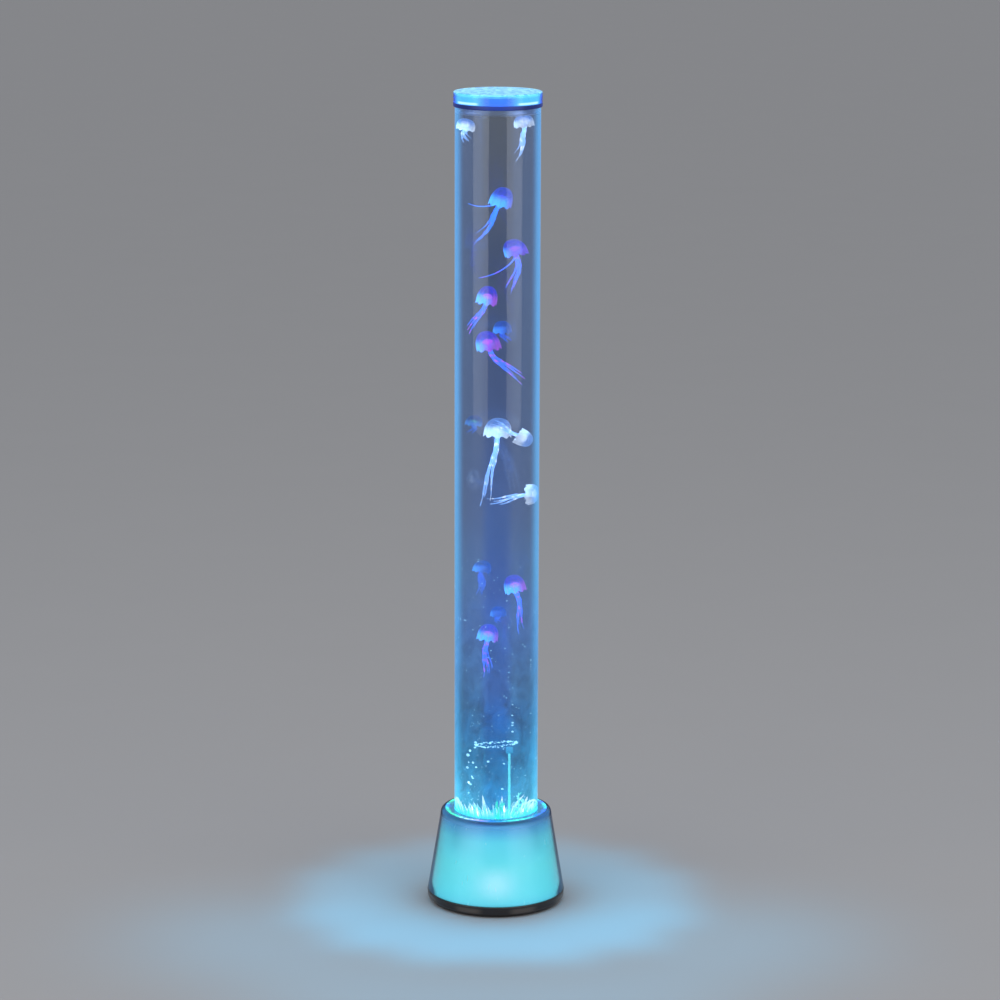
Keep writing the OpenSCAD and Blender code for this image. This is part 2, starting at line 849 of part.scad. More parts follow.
// The lower hose climbs from the outlet to the valve in an S, straight where it grips a barb.
function hose_route() =
    let (z0 = lid_z + pump_lid_t + 0.3)
    let (z1 = valve_low - 0.3)
    let (low = z0 + outlet_h)
    let (high = z1 - barb_h)
    concat(
        [[pipe_x, outlet_y, z0]],
        [for (i = [0:6]) let (t = i / 6)
            [pipe_x, outlet_y * (0.5 + 0.5 * cos(180 * t)), low + (high - low) * t]],
        [[pipe_x, 0, z1]]
    );

module lower_hose() {
    route = hose_route();
    color("#dfe9ea", 0.7)
        difference() {
            strand(route, [for (p = route) hose_r], 14);
            translate([0, 0, -eps]) strand(stretched(route), [for (p = route) outlet_r + fit], 14);
        }
}

// The same route with its ends drawn out a little, for a bore that passes right through.
function stretched(route) = [
    for (i = [0:len(route) - 1])
        route[i] + (i == 0 ? [0, 0, -1] : i == len(route) - 1 ? [0, 0, 1] : [0, 0, 0])
];

module check_valve() {
    color("#f3f5f5")
        translate([pipe_x, 0, valve_low])
            rotate_extrude()
                polygon([
                    [0, -barb_h],
                    [outlet_r - 0.4, -barb_h],
                    [outlet_r, -barb_h + 1.5],
                    [outlet_r, 0],
                    [valve_r - 1.2, 0],
                    [valve_r, 1.2],
                    [valve_r, valve_h / 2 - 1],
                    [valve_r + 0.7, valve_h / 2 - 0.6],
                    [valve_r + 0.7, valve_h / 2 + 0.6],
                    [valve_r, valve_h / 2 + 1],
                    [valve_r, valve_h - 1.2],
                    [valve_r - 1.2, valve_h],
                    [outlet_r, valve_h],
                    [outlet_r, valve_h + barb_h - 1.5],
                    [outlet_r - 0.4, valve_h + barb_h],
                    [0, valve_h + barb_h]
                ]);
}

module upper_hose() {
    color("#dfe9ea", 0.7)
        translate([pipe_x, 0, 0])
            washer(hose_r, outlet_r + fit, valve_low + valve_h + 0.3, tube_z - fitting_nut_h - valve_low - valve_h - 0.6);
}

module air_fitting() {
    color("#eef2f2")
        translate([pipe_x, 0, 0])
            difference() {
                union() {
                    translate([0, 0, fitting_low]) cylinder(r = outlet_r, h = tube_z - fitting_low);
                    translate([0, 0, tube_z - fitting_nut_h]) cylinder(r = 5.5, h = fitting_nut_h, $fn = 6);
                    translate([0, 0, tube_z - eps]) cylinder(r = fitting_r, h = tube_floor_t + 1);
                    translate([0, 0, floor_top]) cylinder(r = fitting_flange_r, h = fitting_flange_t);
                    translate([0, 0, floor_top]) cylinder(r = nozzle_r, h = fitting_flange_t + nozzle_h);
                }
                translate([0, 0, fitting_low - 1]) cylinder(r = air_bore_r, h = tube_z);
            }
}

// ---- Tube and what stands in it ----

module tube() {
    color("#9fd0ee", 0.3)
        translate([0, 0, tube_z])
            rotate_extrude($fn = 128)
                polygon([
                    [bore_r, 0],
                    [tube_r, 0],
                    [tube_r, tube_len - 0.6],
                    [tube_r - 0.6, tube_len],
                    [bore_r + 0.4, tube_len],
                    [bore_r, tube_len - 0.4]
                ]);
}

module tube_floor() {
    color("#9fd0ee", 0.4)
        difference() {
            translate([0, 0, tube_z]) cylinder(r = bore_r - pin_clear, h = tube_floor_t, $fn = 128);
            translate([pipe_x, 0, tube_z - 1]) cylinder(r = fitting_r + fit, h = tube_floor_t + 2);
        }
}

module air_pipe() {
    color("#e4f6f4", 0.6)
        translate([pipe_x, 0, 0])
            washer(pipe_d / 2, nozzle_r + fit, floor_top + fitting_flange_t, pipe_h - fitting_flange_t);
}

module air_stone() {
    color("#cfd6da")
        translate([pipe_x, 0, floor_top + pipe_h])
            rotate_extrude()
                polygon(concat(
                    [[0, 0], [stone_r - 0.8, 0]],
                    arc(stone_r - 0.8, 0.8, 0.8, -90, 0, 3),
                    arc(stone_r - 1.4, stone_h - 1.4, 1.4, 0, 90, 4),
                    [[0, stone_h]]
                ));
}

function spread(i, step) = i * step - floor(i * step);

function blade_place(i) =
    let (r = (bore_r - 5) * sqrt(0.1 + 0.9 * (i + 0.5) / blade_count))
    [r * cos(137.5 * i), r * sin(137.5 * i)];

// Blades keep off the pipe, the plants and the patch of crystals.
function blade_stands(p) =
    let (a = atan2(p[1], p[0]))
    norm(p - [pipe_x, 0]) > fitting_flange_r + 3
    && min([for (q = plant_places) norm(p - q)]) > plant_clear
    && !(norm(p) > crystal_ring_r - 7 && a > crystal_from - 15 && a < crystal_to + 17);

module blade(p, i) {
    h = blade_h * (0.5 + 0.5 * spread(i, 0.618));
    out = [cos(77 * i), sin(77 * i)] * 2.6 - p * 0.04;
    path = [
        [p[0], p[1], mat_top - 0.5],
        [p[0] + out[0] * 0.3, p[1] + out[1] * 0.3, mat_top + h * 0.5],
        [p[0] + out[0], p[1] + out[1], mat_top + h]
    ];
    strand(path, [1.5, 1.1, 0.15], 3);
}

module grass_mat() {
    color("#a9f3e4")
        union() {
            difference() {
                translate([0, 0, floor_top]) cylinder(r = bore_r - 0.5, h = mat_t, $fn = 96);
                translate([pipe_x, 0, floor_top - 1]) cylinder(r = fitting_flange_r + 0.5, h = mat_t + 2);
            }
            for (i = [0:blade_count - 1])
                if (blade_stands(blade_place(i))) blade(blade_place(i), i);
        }
}

// A pointed leaf with a raised midrib, its stalk end at the origin, reaching along +X.
module leaf(long, wide) {
    points = [
        [0, 0, 0],
        [long * 0.42, wide / 2, long * 0.16],
        [long, 0, long * 0.1],
        [long * 0.42, -wide / 2, long * 0.16],
        [long * 0.42, 0, long * 0.16 + 0.9],
        [long * 0.42, 0, long * 0.16 - 0.6]
    ];
    polyhedron(
        points = points,
        faces = [[0, 1, 4], [1, 2, 4], [2, 3, 4], [3, 0, 4], [1, 0, 5], [2, 1, 5], [3, 2, 5], [0, 3, 5]]
    );
}

module leaf_plant(tall, leaves) {
    cylinder(r = 2.5, h = 1);
    strand([[0, 0, 0.5], [0.4, 0.3, tall * 0.5], [0, 0.8, tall]], [1, 0.8, 0.4], 6);
    for (i = [0:leaves - 1])
        let (t = 0.3 + 0.66 * i / leaves)
        translate([0.3, 0.3 + 0.4 * t, tall * t])
            rotate([0, -18 - 30 * t, 137.5 * i]) leaf(8.5 - 3 * t, 4.6 - 1.4 * t);
}

module leaf_plants() {
    color("#37c489") {
        for (p = PLANTS)
            translate([bore_r * p[0], bore_r * p[1], mat_top]) leaf_plant(p[2], p[3]);
    }
}

module crystal(r, h, turn) {
    rotate([0, 0, turn])
        strand([[0, 0, 0], [0, 0, h * 0.3], [0.4, 0, h * 0.75], [0.7, 0.2, h]], [r * 0.72, r, r * 0.7, r * 0.18], 5);
}

module crystals() {
    color("#f2e3f0")
        for (i = [0:crystal_count - 1])
            let (row = i % 3)
            let (a = crystal_from + (crystal_to - crystal_from) * (floor(i / 3) + row / 3) * 3 / crystal_count)
            rotate([0, 0, a])
                translate([crystal_ring_r + crystal_row * row, 0, mat_top])
                    crystal(
                        crystal_r * (0.72 + 0.28 * spread(i, 0.37)), crystal_h * (0.42 + 0.58 * spread(i, 0.53)),
                        crystal_twist * i
                    );
}

// ---- Cap ----

module top_cap() {
    color("#8ff0ff", 0.6)
        difference() {
            rotate_extrude($fn = 128)
                polygon(concat(
                    [[0, tube_top], [bore_r - 0.4 - plug_wall, tube_top]],
                    [[bore_r - 0.4 - plug_wall, tube_top - plug_h], [bore_r - 0.4, tube_top - plug_h]],
                    [[bore_r - 0.4, tube_top], [cap_in_r, tube_top], [cap_in_r, cap_z], [cap_out_r, cap_z]],
                    arc(cap_out_r - cap_round, tube_top + cap_t - cap_round, cap_round, 0, 90, 6),
                    [[0, tube_top + cap_t]]
                ));
            for (a = [90:120:330])
                rotate([0, 0, a]) translate([vent_ring_r, 0, tube_top - 1]) cylinder(d = vent_d, h = cap_t + 2);
        }
}

module cap_seal() {
    color("#1b2f8f")
        rotate_extrude($fn = 128)
            polygon([
                [cap_in_r, cap_z - seal_h],
                [cap_out_r - 0.8, cap_z - seal_h],
                [cap_out_r, cap_z - seal_h + 0.8],
                [cap_out_r, cap_z],
                [cap_in_r, cap_z]
            ]);
}

// ---- Jellyfish ----

function bell_profile(r, h) = concat(
    arc(0, 0, 1, 0, 90, 7) * [[r, 0], [0, h]],
    arc(0, 0, 1, 90, 0, 7) * [[r - bell_wall, 0], [0, h - bell_wall]]
);

// An arm starts in the core, drifts more and more, and sways as it goes down.
function arm_path(start, long, drift, phase) = [
    for (i = [0:8])
        let (t = i / 8)
        [
            start[0] * (1 + 0.5 * t) + drift[0] * t * t + arm_sway[0] * t * sin(430 * t + phase),
            start[1] * (1 + 0.5 * t) + drift[1] * t * t + arm_sway[1] * t * cos(380 * t + phase),
            start[2] - long * t
        ]
];

function arm_radii() = [for (i = [0:8]) let (t = i / 8) arm_r * (1 - 0.72 * t)];

// A thin streamer leaves the core sideways and ends at the given reach.
function streamer_path(start, reach) = [
    for (i = [0:7])
        let (t = i / 7)
        [start[0] + reach[0] * t, start[1] + 1.5 * sin(300 * t), start[2] + reach[1] * sqrt(t) - 3 * sin(180 * t)]
];

module jellyfish(n) {
    j = JELLIES[n];
    r = j[3] / 2;
    h = r * bell_rise;
    core = min(4.2, r * 0.42);
    core_z = h - bell_wall - core * 0.8;
    phase = 83 * n;
    color(n % 3 == 1 ? "#b9a8ff" : "#a6dcff", 0.7)
        translate([j[0] * bore_r / 100, j[1] * bore_r / 100, floor_top + water_depth * j[2] / 100 - h / 2])
            rotate([0, j[4], 0]) {
                rotate_extrude($fn = 48) polygon(bell_profile(r, h));
                translate([0, 0, core_z]) sphere(r = core, $fn = 32);
                for (i = [0:arm_count - 1])
                    let (a = 360 * i / arm_count + phase)
                    let (start = [core * 0.62 * cos(a), core * 0.62 * sin(a), core_z - core * 0.2])
                    strand(
                        arm_path(start, (j[5] + core_z) * (0.7 + 0.3 * spread(i + n, 0.618)), [j[6], j[7]], phase),
                        arm_radii(), 5
                    );
                if (j[8] != 0)
                    strand(streamer_path([0, 0, core_z - core * 0.9], [j[8], j[9]]), [for (i = [0:7]) 0.8 - 0.06 * i], 5);
            }
}

module jellyfish_01() { jellyfish(0); }
module jellyfish_02() { jellyfish(1); }
module jellyfish_03() { jellyfish(2); }
module jellyfish_04() { jellyfish(3); }
module jellyfish_05() { jellyfish(4); }
module jellyfish_06() { jellyfish(5); }
module jellyfish_07() { jellyfish(6); }
module jellyfish_08() { jellyfish(7); }
module jellyfish_09() { jellyfish(8); }
module jellyfish_10() { jellyfish(9); }
module jellyfish_11() { jellyfish(10); }
module jellyfish_12() { jellyfish(11); }
module jellyfish_13() { jellyfish(12); }
module jellyfish_14() { jellyfish(13); }
module jellyfish_15() { jellyfish(14); }

base_pan();
foot_ring();
base_screws();
outer_shell();
diffuser();
top_ring();
tube_socket();
socket_gasket();
tube_light_board();
tube_lights();
rim_light_board();
rim_lights();
shell_light_strip();
shell_lights();
control_board();
board_parts();
dc_inlet();
switch_body();
power_button();
wires();
pump_case();
pump_lid();
pump_coil();
pump_core();
pump_arm();
arm_magnet();
pivot_pin();
pump_diaphragm();
pump_chamber();
pump_isolators();
lower_hose();
check_valve();
upper_hose();
air_fitting();
tube();
tube_floor();
air_pipe();
air_stone();
grass_mat();
leaf_plants();
crystals();
top_cap();
cap_seal();
jellyfish_01();
jellyfish_02();
jellyfish_03();
jellyfish_04();
jellyfish_05();
jellyfish_06();
jellyfish_07();
jellyfish_08();
jellyfish_09();
jellyfish_10();
jellyfish_11();
jellyfish_12();
jellyfish_13();
jellyfish_14();
jellyfish_15();
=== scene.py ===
"""Looks of the bubble tube floor lamp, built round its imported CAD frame. All sizes are in metres."""

import json
import logging
import math
from dataclasses import dataclass
from enum import Enum
from typing import Mapping, Sequence

import bmesh
import bpy
from mathutils import Matrix, Vector

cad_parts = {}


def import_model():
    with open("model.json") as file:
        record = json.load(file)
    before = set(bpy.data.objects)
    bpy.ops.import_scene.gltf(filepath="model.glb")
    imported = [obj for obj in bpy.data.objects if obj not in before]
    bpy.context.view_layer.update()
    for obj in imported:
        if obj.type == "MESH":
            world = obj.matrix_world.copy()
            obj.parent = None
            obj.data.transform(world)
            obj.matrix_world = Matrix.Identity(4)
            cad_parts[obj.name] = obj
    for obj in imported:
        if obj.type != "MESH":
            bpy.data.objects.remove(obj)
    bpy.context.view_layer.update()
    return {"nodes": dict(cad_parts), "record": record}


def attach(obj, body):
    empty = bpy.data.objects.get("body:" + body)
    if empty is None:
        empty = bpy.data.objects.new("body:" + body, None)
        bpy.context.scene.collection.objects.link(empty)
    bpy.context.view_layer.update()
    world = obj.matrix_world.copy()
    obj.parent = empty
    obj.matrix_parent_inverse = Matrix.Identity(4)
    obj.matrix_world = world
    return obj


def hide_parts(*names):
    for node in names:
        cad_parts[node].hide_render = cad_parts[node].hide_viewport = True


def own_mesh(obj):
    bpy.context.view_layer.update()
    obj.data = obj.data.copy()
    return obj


log = logging.getLogger("lamp")
MM = 0.001

Colour = tuple[float, float, float, float]
Point = Sequence[float]
Profile = list[tuple[float, float]]
Stops = Sequence[tuple[float, Colour]]
Faces = list[tuple[int, ...]]
Socket = bpy.types.NodeSocket
Piece = bpy.types.Object


def dye(code: str) -> Colour:
    """Turns a six-figure colour code into a linear colour.

    Args:
        code: Red, green and blue as two hexadecimal figures each.

    Returns:
        Red, green, blue and 1.
    """
    parts = [int(code[i:i + 2], 16) / 255 for i in (0, 2, 4)]
    # The standard curve between screen colours and light.
    linear = [p / 12.92 if p <= 0.04045 else ((p + 0.055) / 1.055) ** 2.4 for p in parts]
    return (linear[0], linear[1], linear[2], 1.0)


def shade(colour: Colour, factor: float) -> Colour:
    """A colour made lighter or darker by a factor."""
    return (colour[0] * factor, colour[1] * factor, colour[2] * factor, 1.0)


# ---- Node trees ----


class Num:
    """A number socket: arithmetic on it adds Math nodes to its graph."""

    def __init__(self, graph: "Graph", socket: Socket) -> None:
        """Wraps an output socket of a graph."""
        self.graph = graph
        self.socket = socket

    def math(self, operation: str, *others: "Number") -> "Num":
        """The Math node of that operation on this number and the others."""
        sockets = dict(enumerate((self, *others)))
        return self.graph.number("ShaderNodeMath", {"operation": operation}, sockets)

    def _turned(self, operation: str, other: "Number") -> "Num":
        """The Math node of that operation with this number second."""
        return self.graph.number("ShaderNodeMath", {"operation": operation}, {0: other, 1: self})

    def __add__(self, other: "Number") -> "Num":
        """Sum."""
        return self.math("ADD", other)

    def __radd__(self, other: "Number") -> "Num":
        """Sum with a plain number first."""
        return self.math("ADD", other)

    def __sub__(self, other: "Number") -> "Num":
        """Difference."""
        return self.math("SUBTRACT", other)

    def __rsub__(self, other: "Number") -> "Num":
        """Difference with a plain number first."""
        return self._turned("SUBTRACT", other)

    def __mul__(self, other: "Number") -> "Num":
        """Product."""
        return self.math("MULTIPLY", other)

    def __rmul__(self, other: "Number") -> "Num":
        """Product with a plain number first."""
        return self.math("MULTIPLY", other)

    def __truediv__(self, other: "Number") -> "Num":
        """Quotient."""
        return self.math("DIVIDE", other)

    def __pow__(self, other: "Number") -> "Num":
        """Power."""
        return self.math("POWER", other)

    def between(self, low: float, high: float) -> "Num":
        """0 below low, 1 above high, eased between them."""
        settings = {"interpolation_type": "SMOOTHSTEP"}
        return self.graph.number("ShaderNodeMapRange", settings, {0: self, 1: low, 2: high})


Number = Num | float


class Graph:
    """A node tree that is being written."""

    def __init__(self, tree: bpy.types.NodeTree) -> None:
        """Takes an empty tree."""
        self.tree = tree

    def node(
        self,
        kind: str,
        settings: Mapping[str, object] | None = None,
        sockets: Mapping[object, object] | None = None,
    ) -> bpy.types.Node:
        """Adds a node.

        Args:
            kind: Blender's name of the node type.
            settings: Its own settings, set first; "stops" holds a ramp's places and colours.
            sockets: Values or links of its inputs, by name or number.

        Returns:
            The node.
        """
        made = self.tree.nodes.new(kind)
        for key, value in (settings or {}).items():
            if key == "stops":
                self._stops(made.color_ramp, value)
            else:
                setattr(made, key, value)
        for key, value in (sockets or {}).items():
            self.feed(made.inputs[key], value)
        return made

    def feed(self, socket: Socket, value: object) -> None:
        """Links or sets one input socket.

        Args:
            socket: The input socket.
            value: A link's start or a plain value.
        """
        if isinstance(value, Num):
            value = value.socket
        if isinstance(value, Socket):
            self.tree.links.new(value, socket)
        elif socket.type == "VECTOR":
            socket.default_value = tuple(value)[:3]
        else:
            socket.default_value = value

    def number(self, kind: str, settings: Mapping[str, object], sockets: Mapping[object, object]) -> Num:
        """Adds a node and wraps its first output."""
        return Num(self, self.node(kind, settings, sockets).outputs[0])

    @staticmethod
    def _stops(ramp: bpy.types.ColorRamp, stops: Stops) -> None:
        """Sets a ramp's stops, lowest first.

        Args:
            ramp: The ramp to set.
            stops: Places and colours, lowest first.
        """
        while len(ramp.elements) > 1:
            ramp.elements.remove(ramp.elements[0])
        ramp.elements[0].position, ramp.elements[0].color = stops[0]
        for place, colour in stops[1:]:
            ramp.elements.new(place).color = colour


class Paint(Graph):
    """The node tree of one material."""

    def __init__(self, name: str) -> None:
        """Makes the material, empty.

        Args:
            name: Its name.
        """
        self.material = bpy.data.materials.new(name)
        self.material.use_nodes = True
        super().__init__(self.material.node_tree)
        self.tree.nodes.clear()
        self._here: Socket | None = None

    def here(self) -> Socket:
        """The point on the piece, in the lamp's frame.

        Returns:
            The vector socket.
        """
        if self._here is None:
            self._here = self.node("ShaderNodeTexCoord").outputs["Object"]
        return self._here

    def xyz(self) -> tuple[Num, Num, Num]:
        """The three coordinates of the point on the piece."""
        split = self.node("ShaderNodeSeparateXYZ", sockets={0: self.here()})
        return Num(self, split.outputs[0]), Num(self, split.outputs[1]), Num(self, split.outputs[2])

    def radius(self) -> Num:
        """Distance of the point from the lamp's axis."""
        x, y, _ = self.xyz()
        return (x * x + y * y).math("SQRT")

    def around(self) -> Num:
        """Angle of the point round the lamp's axis, 0 at the front, in radians."""
        x, y, _ = self.xyz()
        return x.math("ARCTAN2", y * -1.0)

    def height(self, low: float, high: float) -> Num:
        """Height of the point as a share, 0 at low and 1 at high."""
        _, _, z = self.xyz()
        return self.number("ShaderNodeMapRange", {}, {0: z, 1: low, 2: high})

    def noise(
        self, scale: float, detail: float = 2.0, stretch: Point = (1, 1, 1), warp: float = 0.0
    ) -> Num:
        """Noise on the point's place, optionally drawn out along the axes.

        Args:
            scale: Features to a metre.
            detail: Finer layers.
            stretch: Factors along the axes.
            warp: How far the pattern is distorted.

        Returns:
            The pattern, 0 to 1.
        """
        place = self.node("ShaderNodeMapping", {}, {0: self.here(), "Scale": tuple(stretch)}).outputs[0]
        sockets = {"Vector": place, "Scale": scale, "Detail": detail, "Distortion": warp}
        return self.number("ShaderNodeTexNoise", {}, sockets)

    def cells(self, scale: float, kind: str = "F1") -> Num:
        """Distance pattern of a Voronoi texture."""
        sockets = {"Vector": self.here(), "Scale": scale}
        return self.number("ShaderNodeTexVoronoi", {"feature": kind}, sockets)

    def ramp(self, factor: Number, stops: Stops, ease: str = "EASE") -> Socket:
        """A colour read from stops along a number.

        Args:
            factor: Where the stops are read.
            stops: Places and colours, lowest first.
            ease: The ramp's interpolation.

        Returns:
            The colour.
        """
        made = self.node("ShaderNodeValToRGB", {"stops": stops}, {0: factor})
        made.color_ramp.interpolation = ease
        return made.outputs[0]

    def mix(self, factor: Number, first: object, second: object) -> Socket:
        """A mix of two colours."""
        sockets = {0: factor, 6: first, 7: second}
        return self.node("ShaderNodeMix", {"data_type": "RGBA"}, sockets).outputs[2]

    def scaled(self, colour: object, factor: Number) -> Socket:
        """A colour times a number."""
        settings = {"operation": "SCALE"}
        return self.node("ShaderNodeVectorMath", settings, {0: colour, "Scale": factor}).outputs[0]

    def sum(self, first: object, second: object) -> Socket:
        """Two colours added."""
        return self.node("ShaderNodeVectorMath", {"operation": "ADD"}, {0: first, 1: second}).outputs[0]

    def bump(self, height: Num, depth: float) -> Socket:
        """A normal from a height pattern of that depth."""
        sockets = {"Height": height, "Distance": depth, "Strength": 1.0}
        return self.node("ShaderNodeBump", {}, sockets).outputs[0]

    def facing(self) -> Num:
        """0 where a clear surface is seen square on, 1 at its outline."""
        return Num(self, self.node("ShaderNodeLayerWeight", sockets={"Blend": 0.5}).outputs["Facing"])

    def share(self, name: str) -> Num:
        """A number that the mesh holds at its points."""
        return Num(self, self.node("ShaderNodeAttribute", {"attribute_name": name}).outputs["Fac"])

    def finish(self, surface: Socket, volume: Socket | None = None) -> None:
        """Links the shaders to the output.

        Args:
            surface: The surface's shader.
            volume: The shader of what lies inside it, if anything.
        """
        out = self.node("ShaderNodeOutputMaterial", sockets={"Surface": surface})
        if volume is not None:
            self.feed(out.inputs["Volume"], volume)

    def coat(self, sockets: Mapping[object, object]) -> Socket:
        """A Principled shader with these sockets."""
        return self.node("ShaderNodeBsdfPrincipled", sockets=sockets).outputs[0]

    def lamps_pass(self, surface: Socket, tint: Colour) -> Socket:
        """The clear shader, which lamps shine through as through tinted glass.

        Args:
            surface: The surface's shader.
            tint: The colour that light takes on in it.

        Returns:
            The mixed shader.
        """
        ray = self.node("ShaderNodeLightPath").outputs["Is Shadow Ray"]
        open_way = self.node("ShaderNodeBsdfTransparent", sockets={0: tint}).outputs[0]
        return self.node("ShaderNodeMixShader", sockets={0: ray, 1: surface, 2: open_way}).outputs[0]

    def tint_inside(self, taken: Point) -> Socket:
        """An absorption that takes these shares a metre of red, green and blue (natural logarithms).

        Args:
            taken: The shares, red, green and blue.

        Returns:
            The volume's shader.
        """
        most_taken = 0.98
        density = max(taken) / most_taken
        colour = tuple(1 - t / density for t in taken) + (1.0,)
        sockets = {"Color": colour, "Density": density}
        return self.node("ShaderNodeVolumeAbsorption", sockets=sockets).outputs[0]


# ---- Finishes ----


@dataclass(frozen=True)
class Finish:
    """A named finish. Its paint method writes the material."""

    name: str

    def material(self) -> bpy.types.Material:
        """The finish as a material, made once.

        Returns:
            The material.
        """
        found = bpy.data.materials.get(self.name)
        if found is None:
            graph = Paint(self.name)
            self.paint(graph)
            found = graph.material
        return found

    def paint(self, graph: Paint) -> None:
        """Writes the finish's nodes."""
        raise NotImplementedError


@dataclass(frozen=True)
class Moulded(Finish):
    """Moulded plastic or rubber with a fine spark-eroded grain and slow changes of tone."""

    colour: Colour = (0.5, 0.5, 0.5, 1.0)
    roughness: float = 0.45
    mottle: float = 0.08
    grain: float = 1500.0
    depth: float = 0.02 * MM

    def paint(self, graph: Paint) -> None:
        """Writes the finish's nodes.

        Args:
            graph: The material's tree.
        """
        cloud = graph.noise(42.0, 3.0)
        grain = graph.noise(self.grain, 2.0)
        tone = graph.mix(cloud, shade(self.colour, 1 - self.mottle), shade(self.colour, 1 + self.mottle))
        colour = graph.mix(grain.between(0.55, 0.8) * 0.25, tone, shade(self.colour, 1.35))
        graph.finish(graph.coat({
            "Base Color": colour,
            "Roughness": cloud * 0.12 + grain * 0.06 + (self.roughness - 0.09),
            "Normal": graph.bump(grain, self.depth),
        }))


@dataclass(frozen=True)
class SatinRing(Finish):
    """The black ring: satin plastic, warm cast, turning marks, worn top edge and painted highlight patches.
    """

    colour: Colour = dye("241c1a")
    # The worn top edge's colour, which also paints the highlight patches round the middle band.
    rubbed_and_highlight: Colour = dye("5c5048")

    def paint(self, graph: Paint) -> None:
        """Writes the finish's nodes.

        Args:
            graph: The material's tree.
        """
        _, _, z = graph.xyz()
        turned = graph.noise(900.0, 3.0, (0.03, 0.03, 1.0))
        cloud = graph.noise(30.0, 4.0)
        grain = graph.noise(1900.0, 2.0)
        edge = z.between(12.9 * MM, 13.6 * MM) * cloud.between(0.35, 0.7)
        tone = graph.mix(cloud, shade(self.colour, 0.86), shade(self.colour, 1.2))
        # Painted highlight: lighter patches round the middle band stand in for the soft boxes' reflection.
        wall = z.between(3.0 * MM, 6.0 * MM) * (1.0 - z.between(10.0 * MM, 12.5 * MM))
        painted_highlight_patch = (0.5 - (graph.around() * 7.5).math("COSINE") * 0.5).between(0.3, 0.9)
        tone = graph.mix(wall * painted_highlight_patch * 0.65, tone, self.rubbed_and_highlight)
        lined = graph.mix(turned.between(0.45, 0.75) * 0.35, tone, shade(self.colour, 1.8))
        colour = graph.mix(edge * 0.5, lined, self.rubbed_and_highlight)
        graph.finish(graph.coat({
            "Base Color": colour,
            "Roughness": 0.2 + turned * 0.14 + grain * 0.06,
            "Normal": graph.bump(turned * 0.7 + grain * 0.3, 0.035 * MM),
            "Specular IOR Level": 0.42,
        }))


@dataclass(frozen=True)
class Metal(Finish):
    """Bare metal with fine drawing marks and a little tarnish."""

    colour: Colour = (0.6, 0.6, 0.6, 1.0)
    roughness: float = 0.3
    marks: Point = (1.0, 1.0, 0.1)

    def paint(self, graph: Paint) -> None:
        """Writes the finish's nodes.

        Args:
            graph: The material's tree.
        """
        marks = graph.noise(2600.0, 2.0, self.marks)
        stain = graph.noise(120.0, 4.0)
        graph.finish(graph.coat({
            "Base Color": graph.mix(stain.between(0.45, 0.75) * 0.5, self.colour, shade(self.colour, 0.62)),
            "Metallic": 1.0 - stain.between(0.62, 0.8) * 0.25,
            "Roughness": marks * 0.18 + (self.roughness - 0.06),
            "Normal": graph.bump(marks, 0.01 * MM),
        }))


@dataclass(frozen=True)
class Wound(Finish):
    """Enamelled copper wire wound side by side."""

    colour: Colour = dye("b5652b")

    def paint(self, graph: Paint) -> None:
        """Writes the finish's nodes.

        Args:
            graph: The material's tree.
        """
        x, _, _ = graph.xyz()
        turns = (x * (2 * math.pi / (0.42 * MM))).math("SINE") * 0.5 + 0.5
        wear = graph.noise(260.0, 3.0)
        # Painted shade: the colour darkens in the grooves between the turns.
        graph.finish(graph.coat({
            "Base Color": graph.mix(turns, shade(self.colour, 0.35), self.colour),
            "Metallic": 0.85,
            "Roughness": 0.28 + wear * 0.2,
            "Normal": graph.bump(turns, 0.16 * MM),
        }))


@dataclass(frozen=True)
class Board(Finish):
    """A printed board: lacquer over copper tracks, with tinned pads."""

    colour: Colour = dye("0d5c33")
    track: Colour = dye("1f8a4f")
    pad: Colour = dye("c9c4b4")

    def paint(self, graph: Paint) -> None:
        """Writes the finish's nodes.

        Args:
            graph: The material's tree.
        """
        tracks = 1.0 - graph.cells(150.0, "DISTANCE_TO_EDGE").between(0.03, 0.07)
        pads = 1.0 - graph.cells(230.0).between(0.16, 0.2)
        pads = pads * graph.noise(90.0, 1.0).between(0.5, 0.56)
        cloud = graph.noise(60.0, 3.0)
        lacquer = graph.mix(cloud, shade(self.colour, 0.85), self.colour)
        lacquer = graph.mix(tracks * 0.8, lacquer, self.track)
        graph.finish(graph.coat({
            "Base Color": graph.mix(pads, lacquer, self.pad),
            "Metallic": pads * 0.9,
            "Roughness": 0.32 + cloud * 0.12,
            "Normal": graph.bump(tracks + pads * 0.6, 0.035 * MM),
        }))


@dataclass(frozen=True)
class LightDots(Finish):
    """Light-emitting chips, bright in the middle, coloured by their place on their ring."""

    colours: tuple[Colour, ...] = (dye("ffffff"),)
    strength: float = 1.0
    count: int = 24

    def paint(self, graph: Paint) -> None:
        """Writes the finish's nodes.

        Args:
            graph: The material's tree.
        """
        turn = (graph.around() + math.pi) * (1 / (2 * math.pi))
        stops = [(i / len(self.colours), colour) for i, colour in enumerate(self.colours)]
        colour = graph.ramp(turn.math("FRACT"), stops, "CONSTANT")
        step = (turn * float(self.count)).math("FRACT") - 0.5
        middle = 1.0 - step.math("ABSOLUTE").between(0.04, 0.3)
        speck = graph.noise(900.0, 2.0)
        graph.finish(graph.coat({
            "Base Color": graph.mix(0.4, colour, dye("f2f4e8")),
            "Roughness": 0.22 + speck * 0.1,
            "Emission Color": graph.scaled(colour, middle * 0.5 + speck * 0.2 + 0.4),
            "Emission Strength": self.strength,
        }))


